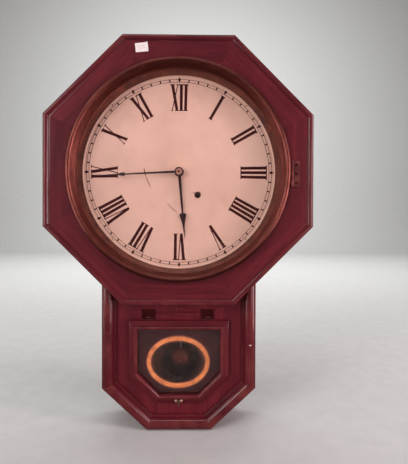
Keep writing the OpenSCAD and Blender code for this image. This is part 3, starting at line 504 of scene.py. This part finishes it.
def grain_frame(p, q, shift):
    """Local axes with x along an edge, y across it and z to the front, slid along the grain by shift."""
    t = unit((q[0] - p[0], q[1] - p[1]))
    along, out = Vector((t[0], 0, t[1])), Vector((0, -1, 0))
    across = out.cross(along)
    m = Matrix((along, across, out)).transposed().to_4x4()
    m.translation = at(p[0], 0, p[1]) - along * shift
    return m


MITRE_GAP = 0.06                       # taken off each end of a run
END_WEAR = 0.15                        # extra wear at the mitres


def mitred(name, pts, i, section, mats, shift, raw_from, columns=2, cut=None, bevel=0.0):
    """One mitred run of the case along edge i. The section is (distance in, height, wear) or, for a point on
    a round about the dial's centre, (None, height, wear, radius). Faces from raw_from on take the second
    material and the ends the last. cut moves the run's two end points."""
    j = (i + 1) % len(pts)
    along = unit((pts[j][0] - pts[i][0], pts[j][1] - pts[i][1]))
    verts, wear = [], []
    for c in range(columns):
        u = c / (columns - 1)
        for s in section:
            edge = inset(pts, s[0] if s[0] is not None else 0.0)
            a = [edge[i][k] + MITRE_GAP * along[k] for k in (0, 1)]
            b = [edge[j][k] - MITRE_GAP * along[k] for k in (0, 1)]
            if cut:
                a, b = cut(a, b)
            x, z = (a[k] + (b[k] - a[k]) * u for k in (0, 1))
            if s[0] is None:
                k = s[3] / math.hypot(x, z)
                x, z = x * k, z * k
            verts.append(at(x, s[1], z))
            wear.append(s[2] + (END_WEAR if c in (0, columns - 1) and s[2] > 0 else 0.0))
    n = len(section)
    faces = [[c * n + k, c * n + (k + 1) % n, (c + 1) * n + (k + 1) % n, (c + 1) * n + k]
             for c in range(columns - 1) for k in range(n)]
    kinds = [1 if k >= raw_from else 0 for _ in range(columns - 1) for k in range(n)]
    faces += [list(range(n))[::-1], [(columns - 1) * n + k for k in range(n)]]
    kinds += [len(mats) - 1] * 2
    return piece(name, verts, faces, mats, "case", "case_veneer", grain_frame(pts[i], pts[j], shift), wear,
                 kinds, bevel)


def turned(name, section, mat, body, slot, turns, centre=(0, 0), closed=True, sharp=38.0):
    """A section of (radius, height, wear) turned about an axis square to the dial."""
    n = len(section)
    verts = [at(centre[0] + s[0] * math.sin(a), s[1], centre[1] + s[0] * math.cos(a))
             for a in (2 * math.pi * c / turns for c in range(turns)) for s in section]
    faces = [[c * n + k, ((c + 1) % turns) * n + k, ((c + 1) % turns) * n + (k + 1) % n, c * n + (k + 1) % n]
             for c in range(turns) for k in range(n if closed else n - 1)]
    wear = [s[2] for _ in range(turns) for s in section]
    return piece(name, verts, faces, [mat], body, slot, wear=wear, sharp=sharp)


def prisms(name, outlines, h, t, mat, slot):
    """Flat shapes on the case, t thick on height h. Neighbours differ a little in thickness, so that no two
    that overlap share a plane."""
    verts, faces = [], []
    for k, pts in enumerate(outlines):
        first, n = len(verts), len(pts)
        top = h + t + 0.003 * (k % 5)
        verts += [at(x, top, z) for x, z in pts] + [at(x, h, z) for x, z in pts]
        for tri in tessellate_polygon([[Vector((x, z, 0)) for x, z in pts]]):
            faces.append([first + v for v in tri])
            faces.append([first + n + v for v in reversed(tri)])
        faces += [[first + v, first + (v + 1) % n, first + n + (v + 1) % n, first + n + v] for v in range(n)]
    fix_normals(piece(name, verts, faces, [mat], "case", slot, sharp=30.0))


def fix_normals(ob):
    bm = bmesh.new()
    bm.from_mesh(ob.data)
    bmesh.ops.recalc_face_normals(bm, faces=bm.faces)
    bm.to_mesh(ob.data)
    bm.free()


def cut_out(name, outlines, h, t, mat, body, bevel=0.0, turn=0.0):
    """A flat piece cut from sheet t thick on height h, with its edges rounded by bevel, turned clockwise
    about the dial's centre. Inner outlines are holes."""
    cu = bpy.data.curves.new(name, "CURVE")
    cu.dimensions, cu.fill_mode = "2D", "BOTH"
    cu.extrude, cu.offset = (t / 2 - bevel) * MM, -bevel * MM
    cu.bevel_depth, cu.bevel_resolution = bevel * MM, 2
    for pts in outlines:
        sp = cu.splines.new("POLY")
        sp.points.add(len(pts) - 1)
        sp.use_cyclic_u = True
        for point, (x, z) in zip(sp.points, pts):
            point.co = (x * MM, z * MM, 0, 1)
    draft = bpy.data.objects.new(name + "_draft", cu)
    bpy.context.scene.collection.objects.link(draft)
    dg = bpy.context.evaluated_depsgraph_get()
    me = bpy.data.meshes.new_from_object(draft.evaluated_get(dg))
    bpy.data.objects.remove(draft)
    me.materials.clear()
    me.materials.append(mat)
    me.name = name
    me.shade_smooth()
    me.set_sharp_from_angle(angle=math.radians(50))
    ob = bpy.data.objects.new(name, me)
    bpy.context.scene.collection.objects.link(ob)
    a = math.radians(turn)
    axes = Matrix(((math.cos(a), 0, -math.sin(a)), (math.sin(a), 0, math.cos(a)), (0, -1, 0))).transposed()
    me.transform(Matrix.Translation(at(0, h + t / 2, 0)) @ axes.to_4x4())
    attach(ob, body)
    return ob


def smooth_line(pts, steps=6):
    """A Catmull-Rom line through the points."""
    made = []
    for i in range(len(pts) - 1):
        p0, p1, p2, p3 = pts[max(i - 1, 0)], pts[i], pts[i + 1], pts[min(i + 2, len(pts) - 1)]
        for k in range(steps):
            t = k / steps
            made.append(tuple(
                0.5 * (2 * p1[c] + (p2[c] - p0[c]) * t + (2 * p0[c] - 5 * p1[c] + 4 * p2[c] - p3[c]) * t * t
                       + (3 * p1[c] - p0[c] - 3 * p2[c] + p3[c]) * t ** 3) for c in (0, 1)))
    return made + [pts[-1]]


# ---------------------------------------------------------------- case: octagon

CORNER_R = APOTHEM / math.cos(math.radians(22.5))
OCTAGON = [(CORNER_R * math.sin(a), CORNER_R * math.cos(a))
           for a in (math.radians(45 * k - 22.5) for k in range(8))]
ARRIS = 0.35
CREST_WEAR = 0.55
OCT_SEAT = [(None, OCT_FLAT, 0.0, BORE_R), (None, OCT_BACK + LIP_T, 0.0, BORE_R),
            (None, OCT_BACK + LIP_T, 0.0, LIP_R), (None, OCT_BACK, 0.0, LIP_R)]
OCT_SECTION = (
    [(ARRIS, OCT_BACK, 0.0), (0.0, OCT_BACK + ARRIS, 0.3), (0.0, BEAD_H - 6, 0.0)]
    + arc(BEAD_R, BEAD_H, BEAD_R, 180, 32, 16, CREST_WEAR, range(2, 11))
    + [(BEAD - ARRIS, OCT_FLAT - ARRIS, 0.0), (BEAD + 0.1, OCT_FLAT - 0.05, 0.35),
       (BEAD + 0.6, OCT_FLAT, 0.15), (BEAD + 4, OCT_FLAT, 0.0), (None, OCT_FLAT, 0.0, BORE_R + 8)]
    + OCT_SEAT)
for k in range(8):
    seg = mitred(f"octagon_segment_{k + 1}", OCTAGON, k, OCT_SECTION, [VENEER, SEAT_WOOD, PINE],
                 0.31 + 0.47 * k, len(OCT_SECTION) - len(OCT_SEAT), columns=33)
    if k == 0:
        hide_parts("octagon_frame")

# ---------------------------------------------------------------- case: drop moulding

HALF_W, HALF_FOOT = DROP_W / 2, DROP_FOOT / 2
SLOPE_Z = DROP_CUT_H - DROP_LOW
DROP = [(-HALF_W, 0), (HALF_W, 0), (HALF_W, SLOPE_Z), (HALF_FOOT, -DROP_LOW), (-HALF_FOOT, -DROP_LOW),
        (-HALF_W, SLOPE_Z)]
ROUND_R = 9.5                          # the moulding's round
FILLET_H = 4.5                         # height of the flat inside the round
MOULD_FLAT = MOULD_BACK + FILLET_H
MOULD_SECTION = (
    [(0.25, MOULD_BACK, 0.0), (0.0, MOULD_BACK + 0.25, 0.0)]
    + arc(ROUND_R, MOULD_FLAT, ROUND_R, 180, 4, 18, CREST_WEAR, range(4, 15))
    + [(2 * ROUND_R + 0.1, MOULD_FLAT - 0.1, 0.0), (MOULD_W - 0.5, MOULD_FLAT, 0.2),
       (MOULD_W, MOULD_FLAT - 0.5, 0.4), (MOULD_W, MOULD_BACK, 0.0)])


def under_octagon(*ends):
    """The ends of a run, with those at the dial's height brought down to the octagon's lower edges."""
    half_edge = APOTHEM * math.tan(math.radians(22.5))
    return [[x, -APOTHEM + abs(x) - half_edge - 0.1] if z > -APOTHEM / 2 else [x, z] for x, z in ends]


for k, part in enumerate(("right", "slope_right", "foot", "slope_left", "left"), 1):
    run = mitred(f"drop_moulding_{part}", DROP, k, MOULD_SECTION, [VENEER, PINE], 3.9 + 0.53 * k,
                 len(MOULD_SECTION) - 1, cut=under_octagon, bevel=0.15)
    if k == 1:
        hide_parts("drop_moulding")

# ---------------------------------------------------------------- bezel



def reeded_slope(steps=24):
    """The bezel's inner slope with its four reeds, which fade inwards."""
    made = []
    for k in range(steps + 1):
        t = k / steps
        reed = 0.22 * math.sin(t * math.pi * 8) * (1 - 0.3 * t)
        made.append((REED_R + (SIGHT_R + 0.4 - REED_R) * t, REED_HIGH + (REED_LOW - REED_HIGH) * t + reed,
                     0.35 if k % 6 < 3 else 0.0))
    return made


BEZEL_SECTION = (
    [(SKIRT_R, SKIRT_H, 0.0), (SKIRT_R, SKIRT_H + 0.6, 0.0)]
    + arc(BEZEL_R - CREST_R, front_of("bezel_ring") - CREST_R, CREST_R, -58, 165, 28, 0.25)
    + [(REED_R + 0.3, REED_HIGH - 0.3, 0.0)] + reeded_slope()
    + arc(SIGHT_R + LIP_ROUND, 96.2, LIP_ROUND, 110, 200, 5, 0.5)
    + [(SIGHT_R, PANE_FRONT, 0.0), (PANE_R, PANE_FRONT, 0.0), (PANE_R, PANE_BACK, 0.0),
       (KEEPER_R, PANE_BACK - 0.2, 0.0), (KEEPER_R, SLEEVE_BACK, 0.0), (SLEEVE_R, SLEEVE_BACK, 0.0),
       (SLEEVE_R, SKIRT_H, 0.0)])
bezel = turned("bezel_turned", BEZEL_SECTION, BEZEL_BRASS, "bezel", "bezel_brass", turns=420)
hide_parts("bezel_ring")

# ---------------------------------------------------------------- dial print

NUMERAL_FOOT, NUMERAL_H = 98.0, 42.6   # radius of the numerals' feet, and their height
HEAVY, HAIR = 4.7, 1.5                 # widths of the two kinds of stroke
SERIF = 1.4                            # how far a serif stands out from a heavy stroke
PRINT_T = 0.03


def bar(u, w):
    """An upright stroke with slab serifs, heavier at the head, that meet those of its neighbours."""
    half, foot = w / 2, w / 2 + SERIF
    side = [(foot, 0), (foot, 1.1), (half + 0.3, 1.4), (half, 2.2), (half, NUMERAL_H - 2.6),
            (half + 0.3, NUMERAL_H - 1.8), (foot, NUMERAL_H - 1.5), (foot, NUMERAL_H)]
    return [[(u + x, v) for x, v in side] + [(u - x, v) for x, v in reversed(side)]]


def serif(u, v, reach):
    """A slab at the foot or the head of a stroke, half its length to each side."""
    low, high = (v, v + 1.1) if v == 0 else (v - 1.5, v)
    return [(u - reach, low), (u + reach, low), (u + reach, high), (u - reach, high)]


def leaning(u0, u1, w):
    """A stroke from u0 at the foot to u1 at the head, w wide along the line."""
    return [(u0 - w / 2, 0), (u0 + w / 2, 0), (u1 + w / 2, NUMERAL_H), (u1 - w / 2, NUMERAL_H)]


def letter(kind, u, wide):
    """The outlines of a numeral's letter round u: a heavy stroke, and a hairline in V and X."""
    if kind == "I":
        return bar(u, HEAVY)
    if kind == "V":
        left, right = u - wide / 2 + 2.8, u + wide / 2 - 1.4
        return [leaning(u, left, 4.6), leaning(u + 1.3, right, HAIR), serif(left, NUMERAL_H, 3.8),
                serif(right, NUMERAL_H, 2.2)]
    lean, thin = wide / 2 - 3.2, wide / 2 - 1.6
    return [leaning(u + lean, u - lean, HEAVY), leaning(u - thin, u + thin, HAIR),
            serif(u - lean, NUMERAL_H, 3.6), serif(u + thin, NUMERAL_H, 2.2),
            serif(u - thin, 0, 2.2), serif(u + lean, 0, 3.6)]


def on_dial(outline, clock):
    """An outline of (sideways, radius), stood on the dial at clock degrees."""
    a = math.radians(clock)
    s, c = math.sin(a), math.cos(a)
    return [(r * s + u * c, r * c - u * s) for u, r in outline]


NUMERALS = ("XII", "I", "II", "III", "IIII", "V", "VI", "VII", "VIII", "IX", "X", "XI")
LETTER_W = {"I": 7.3, "V": 12.0, "X": 13.2}
CLOSE_SET = {"IIII": 6.9, "VIII": 6.8}  # width of I in the two long numerals
for hour, word in enumerate(NUMERALS):
    widths = [CLOSE_SET.get(word, LETTER_W["I"]) if ch == "I" else LETTER_W[ch] for ch in word]
    u = -sum(widths) / 2
    outlines = []
    for ch, wide in zip(word, widths):
        for outline in letter(ch, u + wide / 2, wide):
            fanned = [(x * (0.95 + 0.1 * y / NUMERAL_H), NUMERAL_FOOT + y) for x, y in outline]
            outlines.append(on_dial(fanned, hour * 30))
        u += wide
    prisms(f"numeral_{hour or 12:02d}", outlines, DIAL_H, PRINT_T, INK, "hand_black")


def ring_section(r, w, t):
    """The section of a flat ring on the dial, w wide outwards from radius r and t thick."""
    return [(r, DIAL_H, 0.0), (r + w, DIAL_H, 0.0), (r + w, DIAL_H + t, 0.0), (r, DIAL_H + t, 0.0)]


TRACK_IN, TRACK_OUT, TRACK_LINE = 143.9, 148.2, 0.8
for name, r in (("track_inner", TRACK_IN), ("track_outer", TRACK_OUT)):
    turned(name, ring_section(r - TRACK_LINE / 2, TRACK_LINE, PRINT_T), TRACK_INK, "case", "hand_black",
           turns=240)
TICK = [(-1.0, TRACK_IN), (1.0, TRACK_IN), (1.15, TRACK_OUT), (-1.15, TRACK_OUT)]
LOZENGE = [(0, TRACK_IN - 0.3), (1.5, 146.0), (2.5, 148.3), (0, 151.2), (-2.5, 148.3), (-1.5, 146.0)]
prisms("minute_marks", [on_dial(TICK, 6 * k) for k in range(60) if k % 5], DIAL_H, PRINT_T + 0.01, INK,
       "hand_black")
prisms("five_minute_marks", [on_dial(LOZENGE, 30 * k) for k in range(12)], DIAL_H, PRINT_T + 0.015, INK,
       "hand_black")


def scratch(name, points, width, mat):
    """A thin rubbed line on the dial that fades to a point at both ends."""
    line = smooth_line(points, 5)
    left, right = [], []
    for k, (x, z) in enumerate(line):
        after, before = line[min(k + 1, len(line) - 1)], line[max(k - 1, 0)]
        t = unit((after[0] - before[0], after[1] - before[1]))
        w = width / 2 * math.sin(math.pi * (k + 0.5) / len(line)) ** 0.5
        left.append((x - t[1] * w, z + t[0] * w))
        right.append((x + t[1] * w, z - t[0] * w))
    prisms(name, [left + right[::-1]], DIAL_H, 0.012, mat, "dial_enamel")


scratch("dial_scratch_1", [(-56.5, 6.5), (-54.8, -1.0), (-53.5, -6.5)], 1.4, INK)
scratch("dial_scratch_2", [(-53.8, -5.5), (-50.5, -14.0), (-45.5, -24.5)], 2.2, STAIN)
scratch("dial_scratch_3", [(-19.5, -49.0), (-12.0, -57.0), (-3.0, -64.5)], 1.9, STAIN)
scratch("dial_scratch_4", [(21.5, -32.0), (23.5, -32.5), (25.5, -35.0)], 0.9, INK)

WIND = ((middle("winding_arbor").x - DIAL.x) / MM, (middle("winding_arbor").z - DIAL.z) / MM)
turned("winding_hole_edge", ring_section(4.25, 0.95, 0.05), HOLE_DARK, "case", "hand_black", turns=64,
       centre=WIND)

# ---------------------------------------------------------------- hands

MINUTE_AT, HOUR_AT = 267.0, 175.0      # where the hands point, in degrees past twelve
HAND_T = 1.0


def hand(name, body, node, clock, profile, boss, bore):
    """A spade hand: stem and leaf cut from one outline, on a turned boss with a raised rim."""
    h = back_of(node)
    line = smooth_line(profile, 6)
    outline = line + [(-x, y) for x, y in reversed(line)]
    blade = cut_out(name, [outline], h, HAND_T, BLUED, body, bevel=0.28, turn=clock)
    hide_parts(node)
    web, rim = h + HAND_T - 0.15, h + HAND_T + 0.12
    turned(name + "_boss", [
        (bore, h, 0), (boss - 0.3, h, 0), (boss, h + 0.3, 0), (boss, web, 0), (boss - 0.35, rim, 0),
        (boss - 1.6, rim, 0), (boss - 1.9, web, 0), (bore, web, 0)], BLUED, body, "hand_black", turns=96)


hand("hour_hand_blued", "hour", "hour_hand", HOUR_AT, [
    (2.35, 5.0), (2.3, 12), (1.95, 35), (1.6, 58), (1.55, 64.9), (2.2, 65.8), (3.8, 66.0), (5.1, 67.5),
    (5.15, 69.7), (4.4, 72.7), (3.3, 77.0), (2.2, 82.0), (1.5, 87.0), (1.0, 95.0), (0.25, 106.9)], 7.5, 3.62)
hand("minute_hand_blued", "centre", "minute_hand", MINUTE_AT, [
    (1.85, 5.0), (1.8, 12), (1.45, 40), (1.15, 75), (1.1, 84.3), (1.45, 85.2), (2.3, 85.4), (2.85, 86.8),
    (2.8, 89.0), (2.2, 92.0), (1.5, 95.2), (0.95, 98.5), (0.75, 108.0), (0.22, 133.9)], 7.2, 2.42)

# ---------------------------------------------------------------- lower door: frame from the CAD's own runs


def loose_parts(bm):
    """The vertices of each separate solid in a mesh, in groups."""
    seen, groups = set(), []
    for v in bm.verts:
        if v.index in seen:
            continue
        stack, group = [v], []
        seen.add(v.index)
        while stack:
            w = stack.pop()
            group.append(w)
            for e in w.link_edges:
                o = e.other_vert(w)
                if o.index not in seen:
                    seen.add(o.index)
                    stack.append(o)
        groups.append(group)
    return groups


def run_way(verts, mid):
    """The way a rail's grain runs: along it where it is much longer one way, and else a diagonal."""
    spread_x = max(v.x for v in verts) - min(v.x for v in verts)
    spread_z = max(v.z for v in verts) - min(v.z for v in verts)
    if spread_x > 2.5 * spread_z:
        return 1.0, 0.0
    if spread_z > 2.5 * spread_x:
        return 0.0, 1.0
    return 1.0, 1.0 if mid.x > 0 else -1.0


def split_runs(node, name, mat, body, slot, shift, bevel):
    """Copies a node's separate solids as pieces of their own, each with its grain along its own run."""
    bm = bmesh.new()
    bm.from_mesh(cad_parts[node].data)
    bmesh.ops.remove_doubles(bm, verts=bm.verts, dist=1e-6)
    bm.verts.index_update()

    def bearing(group):
        x, z = (sum(v.co[k] for v in group) / len(group) for k in (0, 2))
        return math.atan2(x, z - middle(node).z) % (2 * math.pi)

    for k, group in enumerate(sorted(loose_parts(bm), key=bearing)):
        index = {v.index: i for i, v in enumerate(group)}
        faces = sorted([index[v.index] for v in f.verts] for f in {f for v in group for f in v.link_faces})
        verts = [v.co.copy() for v in group]
        mid = sum(verts, Vector()) / len(verts)
        way = run_way(verts, mid)
        p = ((mid.x - DIAL.x) / MM, (mid.z - DIAL.z) / MM)
        place = grain_frame(p, (p[0] + way[0], p[1] + way[1]), shift + 0.41 * k)
        front = max(-v.y for v in verts)
        wear = [0.6 if -v.y > front - 1.6 * MM else 0.0 for v in verts]
        rail = piece(f"{name}_{k + 1}", verts, faces, [mat], body, slot, place, wear, bevel=bevel)
        if k == 0:
            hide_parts(node)
    bm.free()


split_runs("door_frame", "door_rail", VENEER, "door", "case_veneer", 8.3, 0.2)

# ---------------------------------------------------------------- lower door: tablet

OVAL_X, OVAL_Z = -1.2, -305.5
OVAL_OUT, OVAL_IN = (52.2, 43.4), (42.2, 32.8)
OVAL_LINE = 2.0                        # dark line on both edges of the gold


def oval(a, b, n=120):
    angles = (2 * math.pi * k / n for k in range(n))
    return [(OVAL_X + a * math.sin(t), OVAL_Z + b * math.cos(t)) for t in angles]


door_x = (DOOR_HI.x - DOOR_LO.x) / 2 / MM
door_top, door_low = (DOOR_HI.z - DIAL.z) / MM, (DOOR_LO.z - DIAL.z) / MM
DOOR_CUT = 43.0                        # the door's lower corners
DOOR_RAIL = 10.6                       # width of its rails to the sight edge
DOOR = [(-door_x, door_top), (door_x, door_top), (door_x, door_low + DOOR_CUT), (door_x - DOOR_CUT, door_low),
        (DOOR_CUT - door_x, door_low), (-door_x, door_low + DOOR_CUT)]
cut_out("tablet_paint", [inset(DOOR, DOOR_RAIL), oval(*(r + 0.8 for r in OVAL_IN))], GLASS_BACK - 0.12, 0.08,
        TABLET_BLACK, "door")
band_out, band_in = oval(*(r - OVAL_LINE for r in OVAL_OUT)), oval(*(r + OVAL_LINE for r in OVAL_IN))
for name, rings, mat in (("tablet_line_out", [oval(*OVAL_OUT), band_out], GOLD_LINE),
                         ("tablet_oval", [band_out, band_in], GOLD),
                         ("tablet_line_in", [band_in, oval(*OVAL_IN)], GOLD_LINE)):
    cut_out(name, rings, GLASS_BACK - 0.03, 0.025, mat, "door")

# ---------------------------------------------------------------- small pieces


def domed(name, x, h, z, r, rise, body, slot):
    """A small domed head, rubbed bright, on a short shank."""
    dome = [(r * math.cos(a), h + rise * math.sin(a), 0.0) for a in (QUARTER * k / 8 for k in range(9))]
    shank_r, back, axis = r * 0.55, h - 1.2, 0.001
    section = [(axis, back, 0.0), (shank_r, back, 0.0), (shank_r, h, 0.0), (r, h, 0.0)] + dome[1:-1]
    turned(name, section + [(axis, h + rise, 0.0)], POLISHED, body, slot, turns=40, centre=(x, z),
           closed=False, sharp=60.0)


domed("moulding_pin", 113.6, MOULD_FLAT + ROUND_R - 0.35, -276.0, 2.0, 1.3, "case", "brass")
LATCH_Z = (middle("latch_plate").z - DIAL.z) / MM
for side, x in (("left", -4.0), ("right", 4.0)):
    domed(f"latch_head_{side}", x, front_of("latch_plate") - 0.1, LATCH_Z, 2.6, 1.4, "door", "bezel_brass")

STICKER_X, STICKER_Z = (middle("paper_sticker").x - DIAL.x) / MM, (middle("paper_sticker").z - DIAL.z) / MM
STICKER_W, STICKER_D = 19.6, 14.0
STICKER_T = 0.14
STICKER_TURN = math.radians(6)


def on_sticker(x, z):
    c, s = math.cos(STICKER_TURN), math.sin(STICKER_TURN)
    return STICKER_X + x * c - z * s, STICKER_Z + x * s + z * c


def sticker_sheet(columns=16, rows=12):
    """A closed thin sheet, slightly wavy, with two opposite corners lifting."""
    verts, faces = [], []
    for rise in (0.0, STICKER_T):
        for j in range(rows + 1):
            for i in range(columns + 1):
                u, v = i / columns - 0.5, j / rows - 0.5
                curl = 15.6 * max(0.0, u + v - 0.62) ** 2 + 3.0 * max(0.0, -u - v - 0.7) ** 2
                h = OCT_FLAT + 0.04 + rise + curl + 0.05 * math.sin(5 * u + 2) * math.cos(4 * v)
                x, z = on_sticker(STICKER_W * u, STICKER_D * v)
                verts.append(at(x, h, z))
    wide, layer = columns + 1, (columns + 1) * (rows + 1)
    for j in range(rows):
        for i in range(columns):
            a = j * wide + i
            faces.append([a, a + wide, a + wide + 1, a + 1])
            faces.append([layer + a, layer + a + 1, layer + a + wide + 1, layer + a + wide])
    rim = list(range(wide)) + [j * wide + columns for j in range(1, rows + 1)]
    rim += [rows * wide + i for i in range(columns - 1, -1, -1)] + [j * wide for j in range(rows - 1, 0, -1)]
    faces += [[a, b, layer + b, layer + a] for a, b in zip(rim, rim[1:] + rim[:1])]
    return verts, faces


sticker = piece("sticker_paper", *sticker_sheet(), [PAPER], "case", "paper")
fix_normals(sticker)
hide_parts("paper_sticker")
marks = []
for x0, x1, z in ((-6.0, -2.4, 1.6), (-1.2, 4.6, 1.9), (-5.4, 0.6, -1.6), (2.0, 5.6, -1.4)):
    marks.append([on_sticker(x, z + d) for x, d in ((x0, 0.0), (x1, 0.15), (x1, 0.75), (x0, 0.6))])
prisms("sticker_pencil", marks, OCT_FLAT + 0.16, 0.09, PENCIL, "paper")

# ---------------------------------------------------------------- finishes on the CAD nodes that stay

FINISH = {
    "backboard": (PINE_UP, 0.4), "case_side_left": (VENEER_UP, 0.3), "case_side_right": (VENEER_UP, 0.3),
    "case_top": (VENEER_ACROSS, 0.3), "case_bottom": (VENEER_ACROSS, 0.3),
    "case_diagonal_left": (VENEER_SLOPE_L, 0.3), "case_diagonal_right": (VENEER_SLOPE_R, 0.3),
    "drop_panel": (VENEER_PANEL_PAINTED_LIGHT, 0.3), "seat_rails": (PINE_UP, 0.5), "hanger_plate": (BRASS, 0.25),
    "case_screws": (TARNISH, 0.15), "dial_pan": (ENAMEL, 0.0), "bezel_hinge_leaf": (HINGE_BRASS, 0.2),
    "door_hinge_leaves": (TARNISH, 0.15), "bezel_hinge_flap": (HINGE_BRASS, 0.15),
    "door_hinge_flaps": (HINGE_BRASS, 0.15), "latch_plate": (TARNISH, 0.12), "door_latch": (OLD_BRASS, 0.15),
    "bezel_glass": (DIAL_GLASS, 0.0), "door_glass": (TABLET_GLASS, 0.0), "pendulum_bob": (BOB_BRASS_SHADED, 0.0),
    "hand_washer": (WASHER, 0.15), "winding_arbor": (HOLE_DARK, 0.1), "centre_arbor": (BLUED, 0.0),
}
BRASS_NODES = ("front_plate", "back_plate", "pillar_nuts", "suspension_cock", "centre_wheel", "cannon_pinion",
               "hour_wheel", "minute_wheel", "third_wheel", "escape_wheel", "second_wheel",
               "main_wheel", "rating_nut")
for name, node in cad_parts.items():
    mat, width = FINISH.get(name, (BRASS if name in BRASS_NODES else STEEL, 0.0))
    node.data.materials.clear()
    node.data.materials.append(mat)
    if width and not node.hide_render:
        soften(node, width, weld=True)
for name in ("bezel_glass", "door_glass"):
    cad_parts[name].visible_shadow = False

# ---------------------------------------------------------------- camera, floor and light

LENS_PX, FRAME_PX = 355.0, 464.0       # focal length and height of the frame
CAM_X, CAM_AWAY, CAM_Z = 32.7, 549.3, -90.8   # across and up from the dial's centre, and out from the octagon
PITCH, YAW, ROLL = (math.radians(a) for a in (0.46, 0.72, 0.17))
cam = bpy.data.objects.new("camera", bpy.data.cameras.new("camera"))
bpy.context.scene.collection.objects.link(cam)
cam.data.sensor_width = 36.0
cam.data.lens = cam.data.sensor_width * LENS_PX / FRAME_PX
turn = (Matrix.Rotation(-YAW, 4, "Z") @ Matrix.Rotation(QUARTER - PITCH, 4, "X")
        @ Matrix.Rotation(ROLL, 4, "Z"))
cam.matrix_world = Matrix.Translation(at(CAM_X, OCT_FLAT + CAM_AWAY, CAM_Z)) @ turn
bpy.context.scene.camera = cam

FLOOR_R = 9.0                          # metres, as are the sweep's radius, its start and its top
SWEEP_R, SWEEP_Y, SWEEP_TOP = 1.2, 4.2, 8.0


def studio_sweep():
    """A floor just under the case that curves up into a backdrop."""
    floor_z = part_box("case_bottom")[0].z - 0.6 * MM
    rows = [(-FLOOR_R, 0.0), (SWEEP_Y, 0.0)]
    for a in (QUARTER * k / 10 for k in range(1, 11)):
        rows.append((SWEEP_Y + SWEEP_R * math.sin(a), SWEEP_R * (1 - math.cos(a))))
    rows.append((SWEEP_Y + SWEEP_R, SWEEP_TOP))
    me = bpy.data.meshes.new("floor")
    me.from_pydata([(x, y, floor_z + z) for y, z in rows for x in (-FLOOR_R, FLOOR_R)], [],
                   [[2 * k, 2 * k + 1, 2 * k + 3, 2 * k + 2] for k in range(len(rows) - 1)])
    me.materials.append(FLOOR)
    me.shade_smooth()
    floor = bpy.data.objects.new("floor", me)
    bpy.context.scene.collection.objects.link(floor)
    floor.visible_glossy = False


studio_sweep()


def softbox(name, place, aim, size, power, colour=(1, 1, 1)):
    """An area light at place that faces aim, both in metres."""
    data = bpy.data.lights.new(name, "AREA")
    data.shape, data.size, data.size_y, data.energy, data.color = "RECTANGLE", size[0], size[1], power, colour
    ob = bpy.data.objects.new(name, data)
    bpy.context.scene.collection.objects.link(ob)
    ob.location = place
    ob.rotation_euler = (Vector(aim) - Vector(place)).to_track_quat("-Z", "Y").to_euler()


CENTRE = (0.0, -0.08, -0.27)
softbox("key", (-1.60, -2.00, 0.75), CENTRE, (0.8, 1.3), 20.0, (1.0, 0.97, 0.95))
softbox("fill", (1.50, -1.90, -0.25), CENTRE, (0.6, 1.3), 10.5)
softbox("fill_low", (-1.95, -1.90, -0.45), (0.0, -0.08, -0.40), (0.5, 0.9), 12.0)
softbox("strip_left", (-1.45, -0.60, -0.2), CENTRE, (0.20, 1.3), 6.0, (1.0, 0.82, 0.82))
softbox("strip_right", (1.45, -0.65, -0.2), CENTRE, (0.24, 1.3), 17.0, (1.0, 0.80, 0.84))
softbox("strip_top", (0.0, -0.95, 1.45), CENTRE, (1.4, 0.14), 6.0)
softbox("backdrop_light", (0.0, 1.2, 2.6), (0.0, 4.6, 0.6), (3.0, 1.0), 170.0)

world = bpy.data.worlds.new("studio")
bpy.context.scene.world = world
world.use_nodes = True
background = world.node_tree.nodes["Background"].inputs
background["Color"].default_value = (1.0, 0.86, 0.87, 1)
background["Strength"].default_value = 0.10
bpy.context.scene.view_settings.view_transform = "Standard"
